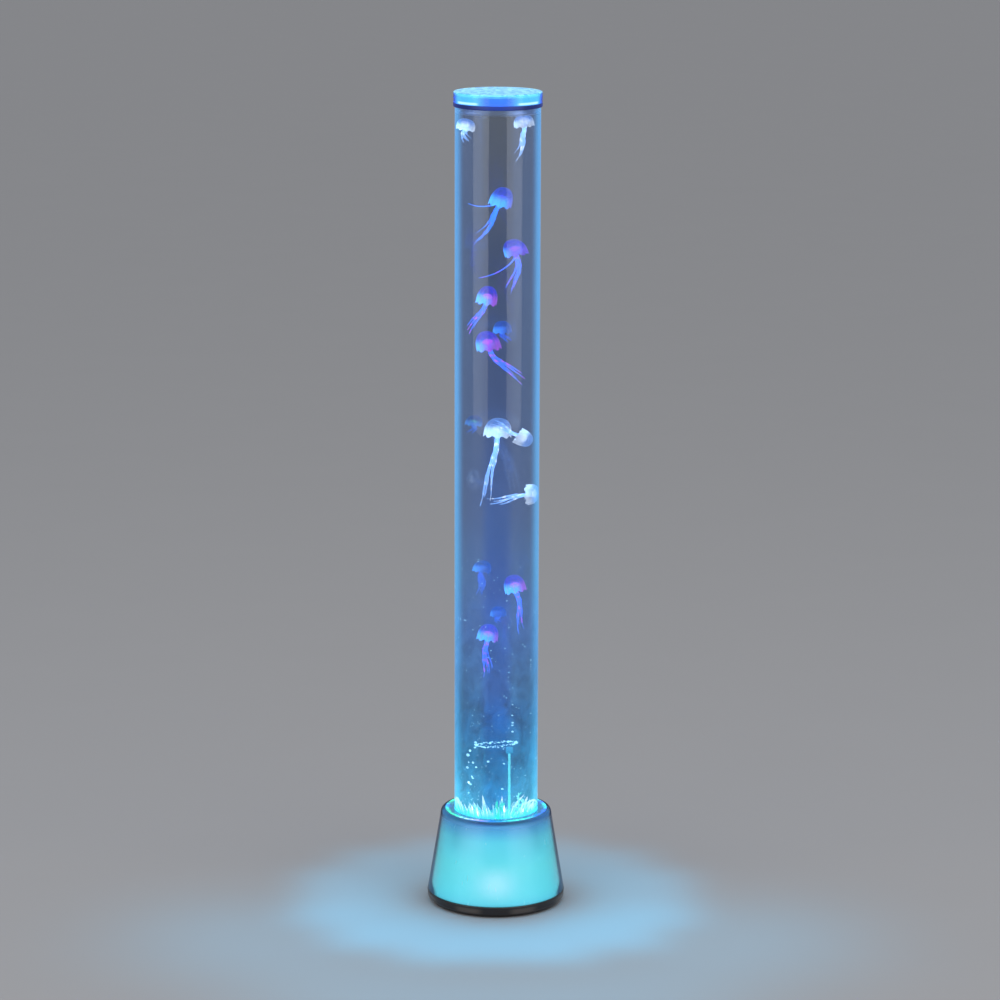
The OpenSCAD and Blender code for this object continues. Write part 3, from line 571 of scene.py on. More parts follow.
@dataclass(frozen=True)
class Clear(Finish):
    """Clear plastic that lets lamps through, with painted shade at its outline and a faint glow at its
    edges.

    The glow is a ramp of colours between two heights. It shows outside a radius, where one is given. The
    surface can be satin above a height, and its painted dark outline wider near the foot.
    """

    tint: Colour = (0.95, 0.97, 1.0, 1.0)
    # The painted shade's tone at the outline.
    outline: Colour = (0.95, 0.97, 1.0, 1.0)
    outline_from: float = 0.6
    outline_to: float = 0.85
    ior: float = 1.49
    roughness: float = 0.02
    taken: Point = ()
    glow: Stops = ()
    glow_heights: tuple[float, float] = (0.0, 1.0)
    glow_from: float = 0.3
    glow_to: float = 0.6
    glow_outside: float = 0.0
    scratches: float = 0.006 * MM
    satin_above: float = 0.0
    satin_run: float = 3 * MM
    wide_below: float = 0.0
    wide_run: float = 14 * MM

    def paint(self, graph: Paint) -> None:
        """Writes the finish's nodes.

        Args:
            graph: The material's tree.
        """
        facing = graph.facing()
        scuffs = graph.noise(340.0, 5.0, (1.0, 1.0, 0.12))
        rough = scuffs.between(0.6, 0.9) * 0.05 + self.roughness
        if self.satin_above:
            _, _, z = graph.xyz()
            rough = rough + z.between(self.satin_above, self.satin_above + self.satin_run) * 0.3
        # Painted shade: the base colour turns to the outline tone at a glancing angle, over a wider band
        # near the foot.
        rimmed = facing
        if self.wide_below:
            _, _, z = graph.xyz()
            rimmed = facing + (1.0 - z.between(self.wide_below - self.wide_run, self.wide_below)) * 0.16
        painted_outline_shade = rimmed.between(self.outline_from, self.outline_to)
        sockets: dict[object, object] = {
            "Base Color": graph.mix(painted_outline_shade, self.tint, self.outline),
            "Roughness": rough,
            "IOR": self.ior,
            "Transmission Weight": 1.0,
            "Normal": graph.bump(scuffs, self.scratches),
        }
        if self.glow:
            edge = facing.between(self.glow_from, self.glow_to)
            if self.glow_outside:
                edge = edge * graph.radius().math("GREATER_THAN", self.glow_outside)
            lit = graph.ramp(graph.height(*self.glow_heights), self.glow, "LINEAR")
            sockets["Emission Color"] = graph.scaled(lit, edge * (scuffs * 0.3 + 0.85))
            sockets["Emission Strength"] = 1.0
        volume = graph.tint_inside(self.taken) if self.taken else None
        graph.finish(graph.lamps_pass(graph.coat(sockets), self.tint), volume)


@dataclass(frozen=True)
class Water(Finish):
    """Lit water: greyish lavender high up, blue in the middle, deep teal and cyan at its foot.

    A stripe down the front and the back differs in its tones from the sides: painted reflections, lighter
    at the sides where the soft boxes show. The very surface is rough, so that it mirrors softly.
    """

    low: float = 100 * MM
    high: float = 951 * MM
    body: Colour = (0.23, 0.28, 0.36, 1.0)
    deep: Colour = (0.11, 0.16, 0.20, 1.0)
    taken: Point = (2.4, 1.6, 0.8)
    sides: Stops = ()
    painted_reflection_stripe: Stops = ()

    def paint(self, graph: Paint) -> None:
        """Writes the finish's nodes.

        Args:
            graph: The material's tree.
        """
        share = graph.height(self.low, self.high)
        # Painted reflection: the darker stripe down the front and back against sides lit by the soft boxes.
        middle = (graph.around() * 2.0).math("COSINE").between(0.62, 0.97)
        streaks = graph.noise(26.0, 3.0, (1.0, 1.0, 0.16))
        clouds = graph.noise(60.0, 4.0, (1.0, 1.0, 0.7), 0.6)
        # Painted light: blotchy patches of light, strongest low down.
        painted_light_blotches = 1.0 - share.between(0.12, 0.4)
        amount = 1.0 + (streaks - 0.5) * 0.4 + (clouds - 0.5) * (painted_light_blotches * 2.2 + 0.15)
        sides = graph.ramp(share, self.sides, "LINEAR")
        tone = graph.mix(middle, sides, graph.ramp(share, self.painted_reflection_stripe, "LINEAR"))
        surface = graph.coat({
            "Base Color": graph.ramp(share, [(0.25, self.deep), (0.45, self.body)], "LINEAR"),
            "Roughness": share.between(0.9986, 0.9998) * 0.8,
            "IOR": 1.333,
            "Transmission Weight": 1.0,
            "Emission Color": graph.scaled(tone, amount.math("MAXIMUM", 0.0)),
            "Emission Strength": 1.0,
        })
        graph.finish(graph.lamps_pass(surface, (0.97, 0.99, 1.0, 1.0)), graph.tint_inside(self.taken))


@dataclass(frozen=True)
class GlowFrost(Finish):
    """The frosted cone, lit from its foot: four soft hot spots low down, bluer under the shoulder."""

    low: float = 13.7 * MM
    high: float = 110 * MM
    tones: Stops = (
        (0.0, dye("48bcbe")),
        (0.03, dye("58dcda")),
        (0.12, dye("60e6dc")),
        (0.45, dye("66e8da")),
        (0.78, dye("60dede")),
        (0.88, dye("4ebad4")),
        (0.95, dye("3f98c4")),
        (1.0, dye("3a8cba")),
    )
    hot: Colour = dye("c4fff8")
    strength: float = 1.0

    def paint(self, graph: Paint) -> None:
        """Writes the finish's nodes.

        Args:
            graph: The material's tree.
        """
        share = graph.height(self.low, self.high)
        tone = graph.ramp(share, self.tones, "LINEAR")
        quarter = (graph.around() * 2.0).math("COSINE").math("ABSOLUTE")
        low_down = 1.0 - (share - 0.27).math("ABSOLUTE").between(0.0, 0.3)
        cloud = graph.noise(24.0, 3.0)
        spot = quarter ** 6.0 * low_down * (cloud * 0.3 + 0.7)
        grain = graph.noise(2400.0, 2.0)
        even = cloud * 0.08 + 0.94 - (1.0 - quarter) * share.between(0.5, 0.85) * 0.3
        graph.finish(graph.coat({
            "Base Color": graph.mix(cloud, dye("5a7683"), dye("66838f")),
            "Roughness": 0.5 + grain * 0.1,
            "Normal": graph.bump(grain, 0.02 * MM),
            "Emission Color": graph.mix(spot, graph.scaled(tone, even), self.hot),
            "Emission Strength": self.strength,
        }))


@dataclass(frozen=True)
class LitLens(Finish):
    """The flat clear ring: a painted teal glow in its body, and the colours of the lights under it as
    painted glints at its outer edge.
    """

    colours: tuple[Colour, ...] = (dye("ffffff"),)
    tint: Colour = dye("4a8cac")
    # Painted light: the teal glow that fills the ring's body.
    body: Colour = dye("1d6080")
    inner: float = 55.2 * MM
    outer: float = 60 * MM
    top: float = 114 * MM
    strength: float = 1.0

    def paint(self, graph: Paint) -> None:
        """Writes the finish's nodes.

        Args:
            graph: The material's tree.
        """
        turn = (graph.around() + math.pi) * (1 / (2 * math.pi))
        count = len(self.colours)
        stops = [((i + 0.5) / count, colour) for i, colour in enumerate(self.colours)]
        glint = graph.noise(150.0, 3.0, warp=1.2)
        wander = turn + (glint - 0.5) * 0.012
        light = graph.ramp(wander.math("FRACT"), stops, "LINEAR")
        _, _, z = graph.xyz()
        edge = graph.radius().between(self.inner, self.outer) * z.between(self.top - 0.5 * MM, self.top)
        glow = graph.scaled(light, edge * (glint.between(0.35, 0.7) * 2.0 + 0.5))
        graph.finish(graph.lamps_pass(graph.coat({
            "Base Color": self.tint,
            "Roughness": glint * 0.08 + 0.05,
            "IOR": 1.49,
            "Transmission Weight": 1.0,
            "Emission Color": graph.sum(glow, graph.scaled(self.body, 1.0 - edge * 0.8)),
            "Emission Strength": self.strength,
        }), self.tint))


@dataclass(frozen=True)
class LitCap(Finish):
    """The clear cap, full of light: mottled cyan on top, blue and cyan by quarters round its side."""

    low: float = 962.3 * MM
    high: float = 975 * MM
    side: Colour = dye("0832a8")
    bright: Colour = dye("46b4f0")
    streak: Colour = dye("c8f8ff")
    top: Colour = dye("2fb0f4")
    sparkle: Colour = dye("9cffff")
    plug: Colour = dye("303c5c")
    glint: Colour = dye("b8dcff")
    plug_r: float = 50.5 * MM
    wall_r: float = 51.2 * MM

    def paint(self, graph: Paint) -> None:
        """Writes the finish's nodes.

        Args:
            graph: The material's tree.
        """
        _, _, z = graph.xyz()
        round_it = graph.around()
        quarter = 0.5 - (round_it * 4.0).math("COSINE") * 0.5
        mottle = graph.noise(120.0, 4.0, (1.0, 1.0, 1.0), 1.0)
        fine = graph.noise(420.0, 3.0)
        wall = graph.mix(quarter.between(0.2, 0.8) * (mottle * 0.5 + 0.6), self.side, self.bright)
        low_down = z.between(self.low + 0.4 * MM, self.low + 1.2 * MM)
        low_down = low_down * (1.0 - z.between(self.low + 2.6 * MM, self.low + 4.0 * MM))
        wall = graph.mix(low_down * quarter.between(0.55, 0.8), wall, self.streak)
        above = graph.mix(mottle.between(0.36, 0.62) * 0.8 + fine * 0.2, self.top, self.sparkle)
        on_top = z.between(self.high - 1.8 * MM, self.high - 0.4 * MM)
        inside = (1.0 - graph.radius().between(self.plug_r, self.wall_r)) * (1.0 - on_top)
        # Painted glint: a pale patch on the inner face at the back.
        behind = (round_it.math("COSINE") * -1.0).between(0.96, 0.99) * mottle.between(0.3, 0.55)
        below = graph.mix(inside, wall, graph.mix(behind, self.plug, self.glint))
        tone = graph.mix(on_top, below, graph.scaled(above, 0.84))
        # Painted shade: the base colour darkens and the glow weakens towards the side's outline.
        facing = graph.facing()
        graph.finish(graph.lamps_pass(graph.coat({
            "Base Color": graph.mix(facing.between(0.5, 0.9), dye("6fb4ff"), dye("143c88")),
            "Roughness": fine * 0.1 + 0.04,
            "IOR": 1.49,
            "Specular IOR Level": 0.2,
            "Transmission Weight": 0.7,
            "Normal": graph.bump(mottle, 0.15 * MM),
            "Emission Color": graph.scaled(tone, 1.0 - facing.between(0.6, 0.92) * (1.0 - on_top) * 0.85),
            "Emission Strength": 0.85,
        }), dye("a8d4ff")))


@dataclass(frozen=True)
class SealBand(Finish):
    """The dark blue sealing band, which takes up a little of the cap's light by quarters."""

    deep: Colour = dye("0c2068")
    lit: Colour = dye("2344b4")

    def paint(self, graph: Paint) -> None:
        """Writes the finish's nodes.

        Args:
            graph: The material's tree.
        """
        quarter = (graph.around() * 4.0).math("COSINE") * 0.5 + 0.5
        cloud = graph.noise(90.0, 3.0)
        grain = graph.noise(1300.0, 2.0)
        graph.finish(graph.coat({
            "Base Color": graph.mix(quarter * 0.7 + cloud * 0.3, self.deep, self.lit),
            "Roughness": grain * 0.1 + 0.36,
            "Normal": graph.bump(grain, 0.02 * MM),
        }))


@dataclass(frozen=True)
class Blade(Finish):
    """Lit plastic grass and leaves: darker at the root, bright to the tip, with veins."""

    root: Colour = dye("0a4c60")
    middle: Colour = dye("48c0cc")
    tip: Colour = dye("fff0ec")
    other: Colour = dye("2cd08c")
    low: float = 100.0 * MM
    high: float = 136.0 * MM
    strength: float = 1.0

    def paint(self, graph: Paint) -> None:
        """Writes the finish's nodes.

        Args:
            graph: The material's tree.
        """
        share = graph.height(self.low, self.high)
        tuft = graph.noise(70.0, 2.0, (1.0, 1.0, 0.2))
        veins = graph.noise(900.0, 2.0, (1.0, 1.0, 0.06))
        tone = graph.ramp(share, [(0.0, self.root), (0.35, self.middle), (0.7, self.tip), (1.0, self.tip)])
        mixed = graph.mix(tuft.between(0.5, 0.68), tone, self.other)
        graph.finish(graph.coat({
            "Base Color": graph.mix(0.5, mixed, dye("2f6f5f")),
            "Roughness": 0.35 + veins * 0.2,
            "Normal": graph.bump(veins, 0.12 * MM),
            "Emission Color": graph.scaled(mixed, veins * 0.7 + 0.5),
            "Emission Strength": self.strength,
        }))


@dataclass(frozen=True)
class CrystalGlow(Finish):
    """Pale pink-white crystals that glow, with cloudy flaws."""

    colour: Colour = dye("fff0fb")
    deep: Colour = dye("8fd8f0")

    def paint(self, graph: Paint) -> None:
        """Writes the finish's nodes.

        Args:
            graph: The material's tree.
        """
        flaws = graph.noise(420.0, 4.0, (1.0, 1.0, 0.5), 0.8)
        tone = graph.mix(flaws.between(0.35, 0.65), self.deep, self.colour)
        graph.finish(graph.coat({
            "Base Color": tone,
            "Roughness": 0.12 + flaws * 0.15,
            "Normal": graph.bump(flaws, 0.08 * MM),
            "Emission Color": graph.scaled(tone, flaws * 0.5 + 0.6),
            "Emission Strength": 2.4,
        }))


@dataclass(frozen=True)
class LitRiser(Finish):
    """The air in the pipe, or the air stone, lit from the boards below and paler towards its top."""

    foot: Colour = dye("8cffd0")
    head: Colour = dye("a8ffec")
    low: float = 100 * MM
    high: float = 196 * MM
    grain: float = 700.0
    strength: float = 2.0

    def paint(self, graph: Paint) -> None:
        """Writes the finish's nodes.

        Args:
            graph: The material's tree.
        """
        share = graph.height(self.low, self.high)
        cloud = graph.noise(self.grain, 3.0)
        tone = graph.mix(share, self.foot, self.head)
        graph.finish(graph.coat({
            "Base Color": tone,
            "Roughness": cloud * 0.3 + 0.1,
            "Normal": graph.bump(cloud, 0.1 * MM),
            "Emission Color": graph.scaled(tone, cloud * 0.5 + 0.65 - graph.facing() * 0.3),
            "Emission Strength": self.strength,
        }))


@dataclass(frozen=True)
class AirPearl(Finish):
    """An air bubble in lit water: brighter round its edge, clearer in the middle."""

    colour: Colour = dye("d0f8ff")
    strength: float = 2.6

    def paint(self, graph: Paint) -> None:
        """Writes the finish's nodes.

        Args:
            graph: The material's tree.
        """
        ring = graph.facing().between(0.1, 0.8)
        speck = graph.noise(700.0, 1.0)
        graph.finish(graph.coat({
            "Base Color": self.colour,
            "Roughness": 0.05 + speck * 0.05,
            "Alpha": ring * 0.4 + 0.6,
            "Emission Color": graph.scaled(self.colour, ring * 0.4 + 0.6),
            "Emission Strength": self.strength,
        }))


class Mood(Enum):
    """How a jellyfish catches the light: its bell, its rim, its core and its arms, and how brightly."""

    WHITE = ("98c4ff", "d8f0ff", "ffffff", "a8d0ff", "ffffff", 1.85)
    BLUE = ("3f6cf0", "58b8ff", "6a50ff", "4a9cff", "7a8cff", 2.1)
    VIOLET = ("5060f0", "62b0ff", "d060ff", "5a8cff", "a078ff", 2.1)
    PINK = ("5058f4", "5cb8ff", "ff60e8", "5488ff", "d070f4", 2.2)
    GREEN = ("4a78c8", "4f86c4", "58e090", "4a7cc8", "6a9ad0", 1.1)
    FAINT = ("3f86e8", "57a8f8", "4f90f0", "4a7ce0", "5a90e8", 1.3)

    @property
    def strength(self) -> float:
        """The glow's strength."""
        return self.value[5]

    def colour(self, part: int) -> Colour:
        """Bell 0, rim 1, core 2, arms 3, spots on the arms 4."""
        return dye(self.value[part])


@dataclass(frozen=True)
class BellSkin(Finish):
    """The bell's thin skin: clearer in the middle, denser towards rim and outline, with radial canals, and
    painted light on its rim.
    """

    mood: Mood = Mood.BLUE

    def paint(self, graph: Paint) -> None:
        """Writes the finish's nodes.

        Args:
            graph: The material's tree.
        """
        rim = graph.share("rim")
        canal = graph.share("canal")
        facing = graph.facing()
        cloud = graph.noise(210.0, 3.0)
        # Painted light: the rim is lighter on one side, with a darker copy of its colour on the other.
        side = graph.share("side")
        lit_side_hem = graph.mix(side.between(0.25, 0.75), shade(self.mood.colour(4), 0.6), self.mood.colour(1))
        tone = graph.mix(rim.between(0.5, 0.85), shade(self.mood.colour(0), 0.6), lit_side_hem)
        lines = canal.between(0.72, 1.0) * rim.between(0.15, 0.4) * 0.45
        lined = graph.mix(lines, tone, self.mood.colour(2))
        lit = facing * 0.25 + rim.between(0.55, 0.9) * (side * 0.5 + 0.1) + cloud * 0.35 + 0.2
        graph.finish(graph.coat({
            "Base Color": lined,
            "Roughness": 0.25 + cloud * 0.15,
            "Normal": graph.bump(canal * 0.6 + cloud * 0.4, 0.15 * MM),
            "Alpha": (facing * 0.5 + rim.between(0.6, 1.0) * 0.3 + 0.4).math("MINIMUM", 1.0),
            "Emission Color": graph.scaled(lined, lit),
            "Emission Strength": self.mood.strength,
        }))


@dataclass(frozen=True)
class CoreFlesh(Finish):
    """The lit core under the bell, with cloudy changes of colour."""

    mood: Mood = Mood.BLUE

    def paint(self, graph: Paint) -> None:
        """Writes the finish's nodes.

        Args:
            graph: The material's tree.
        """
        cloud = graph.noise(500.0, 3.0)
        tone = graph.mix(cloud.between(0.4, 0.7), self.mood.colour(2), self.mood.colour(4))
        graph.finish(graph.coat({
            "Base Color": tone,
            "Roughness": 0.3 + cloud * 0.2,
            "Normal": graph.bump(cloud, 0.2 * MM),
            "Emission Color": graph.scaled(tone, cloud * 0.5 + 0.85),
            "Emission Strength": self.mood.strength * 1.2,
        }))


@dataclass(frozen=True)
class ArmFlesh(Finish):
    """The arms: a lit ribbon whose colour changes in spots along it and fades at its end."""

    mood: Mood = Mood.BLUE

    def paint(self, graph: Paint) -> None:
        """Writes the finish's nodes.

        Args:
            graph: The material's tree.
        """
        along = graph.share("along")
        frill = graph.share("frill")
        spots = graph.noise(190.0, 2.0)
        tone = graph.mix(spots.between(0.52, 0.62), self.mood.colour(3), self.mood.colour(4))
        lit = (1.0 - along * 0.35) * (frill * 0.35 + 0.6) + spots * 0.25
        graph.finish(graph.coat({
            "Base Color": tone,
            "Roughness": 0.3 + spots * 0.2,
            "Normal": graph.bump(frill, 0.15 * MM),
            "Alpha": (1.0 - along * 0.45) * (frill * 0.15 + 0.85),
            "Emission Color": graph.scaled(tone, lit),
            "Emission Strength": self.mood.strength,
        }))


# ---- Meshes ----


def band(first: int, second: int, count: int) -> Faces:
    """The faces between two rings of points, given the number of each ring's first point."""
    pairs = [(i, (i + 1) % count) for i in range(count)]
    return [(first + i, second + i, second + j, first + j) for i, j in pairs]


class Shape:
    """A mesh that grows from rings of points and lathed profiles, with numbers kept at its points."""

    def __init__(self) -> None:
        """Starts empty."""
        self.points: list[Point] = []
        self.faces: Faces = []
        self.shares: dict[str, list[float]] = {}

    def add(self, points: Sequence[Point], faces: Faces, **shares: Sequence[float]) -> None:
        """Adds points, faces between them and numbers at them.

        Args:
            points: Their places.
            faces: Numbers of the points round each face.
            **shares: Numbers kept at the points, by name.
        """
        start = len(self.points)
        self.points.extend(points)
        self.faces.extend(tuple(start + i for i in face) for face in faces)
        for name, values in shares.items():
            self.shares.setdefault(name, [0.0] * start).extend(values)
        for values in self.shares.values():
            values.extend([0.0] * (len(self.points) - len(values)))

    def lathe(self, profile: Profile, sides: int = 192) -> None:
        """Adds a closed profile of radii and heights, turned round the axis.

        Args:
            profile: Corner points, walked so that the material lies on their left.
            sides: Faces round the axis.
        """
        corners = len(profile)
        turns = [2 * math.pi * s / sides for s in range(sides)]
        points = [(r * math.cos(a), r * math.sin(a), z) for a in turns for r, z in profile]
        faces: Faces = []
        for s in range(sides):
            faces += band(s * corners, (s + 1) % sides * corners, corners)
        self.add(points, faces)

    def sweep(
        self, path: Sequence[Vector], rings: Sequence[Sequence[Vector]], **shares: Sequence[float]
    ) -> None:
        """Adds a closed tube through rings of points, one ring at each point of a path.

        Args:
            path: Its points; the first and last close it.
            rings: Points of each ring.
            **shares: Numbers kept at the points, by name.
        """
        count = len(rings[0])
        points = [path[0]] + [p for ring in rings for p in ring] + [path[-1]]
        last = len(points) - 1
        faces: Faces = [(0, 1 + (i + 1) % count, 1 + i) for i in range(count)]
        for r in range(len(rings) - 1):
            faces += band(1 + r * count, 1 + (r + 1) * count, count)
        top = 1 + (len(rings) - 1) * count
        faces += [(last, top + i, top + (i + 1) % count) for i in range(count)]
        self.add(points, faces, **shares)

    def piece(self, name: str, finish: Finish, place: Matrix | None = None, smooth: float = 40.0) -> Piece:
        """Makes the object, at the origin, with its place in its mesh.

        Args:
            name: The piece's name.
            finish: Its material.
            place: Where it goes in the lamp's frame.
            smooth: Angle in degrees under which faces blend.

        Returns:
            The finished object, in the scene.
        """
        mesh = bpy.data.meshes.new(name)
        mesh.from_pydata([tuple(p) for p in self.points], [], self.faces)
        for label, values in self.shares.items():
            mesh.attributes.new(label, "FLOAT", "POINT").data.foreach_set("value", values)
        if place is not None:
            mesh.transform(place)
        tidy(mesh)
        mesh.materials.append(finish.material())
        return settle(name, mesh, smooth)


def tidy(mesh: bpy.types.Mesh) -> None:
    """Merges doubled points and turns the faces outwards.

    Args:
        mesh: The mesh, changed in place.
    """
    work = bmesh.new()
    work.from_mesh(mesh)
    bmesh.ops.remove_doubles(work, verts=work.verts, dist=1e-7)
    bmesh.ops.recalc_face_normals(work, faces=work.faces)
    work.to_mesh(mesh)
    work.free()


def settle(name: str, mesh: bpy.types.Mesh, smooth: float = 40.0) -> Piece:
    """Puts a mesh in the scene as a finished object, smooth below an angle in degrees.

    Args:
        name: Its name.
        mesh: The mesh.
        smooth: Angle in degrees under which faces blend.

    Returns:
        The object.
    """
    mesh.name = name
    mesh.shade_smooth()
    if smooth < 180:
        mesh.set_sharp_from_angle(angle=math.radians(smooth))
    made = bpy.data.objects.new(name, mesh)
    bpy.context.scene.collection.objects.link(made)
    return made


def bow(centre: Point, radius: float, start: float, end: float, steps: int = 8) -> Profile:
    """Points of an arc in a profile, angles in degrees."""
    turns = [math.radians(start + (end - start) * i / steps) for i in range(steps + 1)]
    return [(centre[0] + radius * math.cos(a), centre[1] + radius * math.sin(a)) for a in turns]


def softened(profile: Profile, radius: float, steps: int = 3) -> Profile:
    """A profile whose corners are rounded off by a small radius.

    Args:
        profile: Radii and heights.
        radius: The rounding.
        steps: Parts of each curve.

    Returns:
        The rounded profile.
    """
    made: Profile = []
    for i, (x, z) in enumerate(profile):
        before = Vector((profile[i - 1][0] - x, profile[i - 1][1] - z))
        after = Vector((profile[(i + 1) % len(profile)][0] - x, profile[(i + 1) % len(profile)][1] - z))
        if min(before.length, after.length) < 2.2 * radius or x < 1e-9:
            made.append((x, z))
            continue
        start, end = before.normalized() * radius, after.normalized() * radius
        for s in range(steps + 1):
            t = s / steps
            bend = start * (1 - t) ** 2 + end * t ** 2
            made.append((x + bend.x, z + bend.y))
    return made


class Grower(Graph):
    """A Geometry Nodes tree with named inputs, which grows a plain mesh."""

    def __init__(self, name: str) -> None:
        """Makes the tree with its geometry output.

        Args:
            name: Its name.
        """
        super().__init__(bpy.data.node_groups.new(name, "GeometryNodeTree"))
        self.name = name
        self.tree.interface.new_socket("Geometry", in_out="INPUT", socket_type="NodeSocketGeometry")
        self.tree.interface.new_socket("Geometry", in_out="OUTPUT", socket_type="NodeSocketGeometry")
        self.way_in = self.tree.nodes.new("NodeGroupInput")
        self.way_out = self.tree.nodes.new("NodeGroupOutput")
        self.values: dict[str, tuple[str, object]] = {}

    def ask(self, label: str, value: float | int) -> Num:
        """Adds a named input with its value for this piece.

        Args:
            label: The input's name.
            value: Its value here.

        Returns:
            The input's number.
        """
        kind = "NodeSocketInt" if isinstance(value, int) else "NodeSocketFloat"
        made = self.tree.interface.new_socket(label, in_out="INPUT", socket_type=kind)
        self.values[label] = (made.identifier, value)
        return Num(self, self.way_in.outputs[label])

    def start(self) -> Socket:
        """The geometry of the object that carries the tree."""
        return self.way_in.outputs["Geometry"]

    def chance(self, low: Number, high: Number, seed: Number) -> Num:
        """A random number for each point."""
        made = self.node("FunctionNodeRandomValue", {"data_type": "FLOAT"}, {2: low, 3: high, "Seed": seed})
        return Num(self, made.outputs[1])

    def vector(self, x: Number, y: Number, z: Number) -> Socket:
        """A vector from three numbers."""
        return self.node("ShaderNodeCombineXYZ", {}, {0: x, 1: y, 2: z}).outputs[0]

    def grow(
        self,
        name: str,
        geometry: Socket,
        finish: Finish,
        base: bpy.types.Mesh | None = None,
        place: Matrix | None = None,
        smooth: float = 180.0,
    ) -> Piece:
        """Ends the tree, runs it and keeps the result as a plain mesh.

        Args:
            name: The piece's name.
            geometry: What the tree made.
            finish: The material.
            base: The mesh that carries the tree.
            place: Where the result goes in the lamp's frame.
            smooth: Angle in degrees under which faces blend.

        Returns:
            The finished object.
        """
        real = self.node("GeometryNodeRealizeInstances", {}, {0: geometry}).outputs[0]
        sockets = {"Geometry": real, "Material": finish.material()}
        dressed = self.node("GeometryNodeSetMaterial", {}, sockets)
        self.feed(self.way_out.inputs[0], dressed.outputs[0])
        carrier = bpy.data.objects.new(name + "_seed", base or bpy.data.meshes.new(name + "_seed"))
        bpy.context.scene.collection.objects.link(carrier)
        modifier = carrier.modifiers.new("grow", "NODES")
        modifier.node_group = self.tree
        for identifier, value in self.values.values():
            modifier[identifier] = value
        graph = bpy.context.evaluated_depsgraph_get()
        mesh = bpy.data.meshes.new_from_object(carrier.evaluated_get(graph))
        carrier.modifiers.remove(modifier)
        bpy.data.objects.remove(carrier)
        if place is not None:
            mesh.transform(place)
        return settle(name, mesh, smooth)


# ---- The lamp's sub-assemblies ----


@dataclass
class SubAssembly:
    """Pieces that ride on one body."""

    body: str = "base"

    def mount(self, piece: Piece, slot: str, replaces: Sequence[str] = ()) -> Piece:
        """Makes a piece ride on its body and says which nodes it stands for.

        Args:
            piece: The finished object.
            slot: The record's material slot; not used.
            replaces: CAD nodes that it stands for.

        Returns:
            The same piece.
        """
        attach(piece, self.body)
        if replaces:
            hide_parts(*replaces)
        log.info("%s: %d faces, rides on %s", piece.name, len(piece.data.polygons), self.body)
        return piece


@dataclass
class LightBase(SubAssembly):
    """The base: clear outer shell, frosted cone inside it and the flat ring round the tube's foot."""

    foot_r: float = 82.1 * MM
    foot_z: float = 13.7 * MM
    rim_z: float = 114.0 * MM
    top_r: float = 65.5 * MM
    wall: float = 3.0 * MM
    shoulder: float = 5.0 * MM
    lens_t: float = 2.0 * MM
    rebate: float = 2.6 * MM
    gap: float = 0.3 * MM
    frost_t: float = 2.2 * MM
    frost_top: float = 108.8 * MM
    frost_bevel: float = 0.8 * MM
    frost_shoulder: float = 4.0 * MM
    frost_inner: float = 53.6 * MM
    tube_gap_r: float = 50.4 * MM
    lens_gap: float = 0.3 * MM
    lens_edge_r: float = 0.4 * MM
    edge_r: float = 0.35 * MM

    def slope(self) -> float:
        """The shell's lean from the vertical, in degrees."""
        return math.degrees(math.atan((self.foot_r - self.top_r) / (self.rim_z - self.foot_z)))

    def out_r(self, z: float) -> float:
        """The shell's outer radius at a height."""
        return self.foot_r - (z - self.foot_z) * (self.foot_r - self.top_r) / (self.rim_z - self.foot_z)

    def in_r(self, z: float) -> float:
        """The shell's inner radius at a height."""
        return self.out_r(z) - self.wall / math.cos(math.radians(self.slope()))

    def shoulder_r(self) -> float:
        """Radius at the crest of the shell's shoulder.

        Returns:
            The radius.
        """
        lean = math.radians(self.slope())
        bend_z = self.rim_z - self.shoulder * (1 - math.sin(lean))
        return self.out_r(bend_z) - self.shoulder * math.cos(lean)

    def shell(self) -> Piece:
        """The clear outer shell with its rounded shoulder and the seat of the ring.

        Returns:
            The piece.
        """
        crest = self.shoulder_r()
        seat = self.rim_z - self.lens_t
        profile = [(self.in_r(self.foot_z), self.foot_z), (self.foot_r, self.foot_z)]
        profile += bow((crest, self.rim_z - self.shoulder), self.shoulder, self.slope(), 90, 14)
        profile += [(crest, seat), (crest - self.rebate, seat), (crest - self.rebate, seat - self.wall)]
        profile += [(self.in_r(seat - self.wall), seat - self.wall)]
        made = Shape()
        made.lathe(softened(profile, self.edge_r))
        return made.piece("clear_shell", SHELL)

    def frost(self) -> Piece:
        """The frosted cone, which lines the shell from the black ring up to the shoulder.

        Returns:
            The piece.
        """
        lean = self.slope()
        cosine, sine = math.cos(math.radians(lean)), math.sin(math.radians(lean))
        high = self.frost_top - self.frost_shoulder
        top = self.in_r(high + self.frost_shoulder * sine) - self.gap - self.frost_shoulder * cosine
        foot = self.in_r(self.foot_z) - self.gap
        bevel = self.foot_z + self.frost_bevel
        profile = [(foot - self.frost_t / cosine, self.foot_z), (foot - self.frost_bevel, self.foot_z)]
        profile += [(self.in_r(bevel) - self.gap, bevel)]
        profile += bow((top, high), self.frost_shoulder, lean, 90, 10)
        profile += [(self.frost_inner, self.frost_top), (self.frost_inner, self.frost_top - self.frost_t)]
        profile += bow((top, high), self.frost_shoulder - self.frost_t, 90, lean, 6)
        made = Shape()
        made.lathe(profile)
        return made.piece("frosted_cone", FROST)

    def lens(self) -> Piece:
        """The flat clear ring round the tube.

        Returns:
            The piece.
        """
        outer = self.shoulder_r() - self.lens_gap
        low, high = self.rim_z - self.lens_t, self.rim_z
        made = Shape()
        ring = [(self.tube_gap_r, low), (outer, low), (outer, high), (self.tube_gap_r, high)]
        made.lathe(softened(ring, self.lens_edge_r))
        return made.piece("lens_ring", LENS)

    def build(self) -> None:
        """Makes the base's pieces."""
        self.mount(self.shell(), "clear_blue", ["outer_shell"])
        self.mount(self.frost(), "frosted", ["diffuser"])
        self.mount(self.lens(), "clear", ["top_ring"])


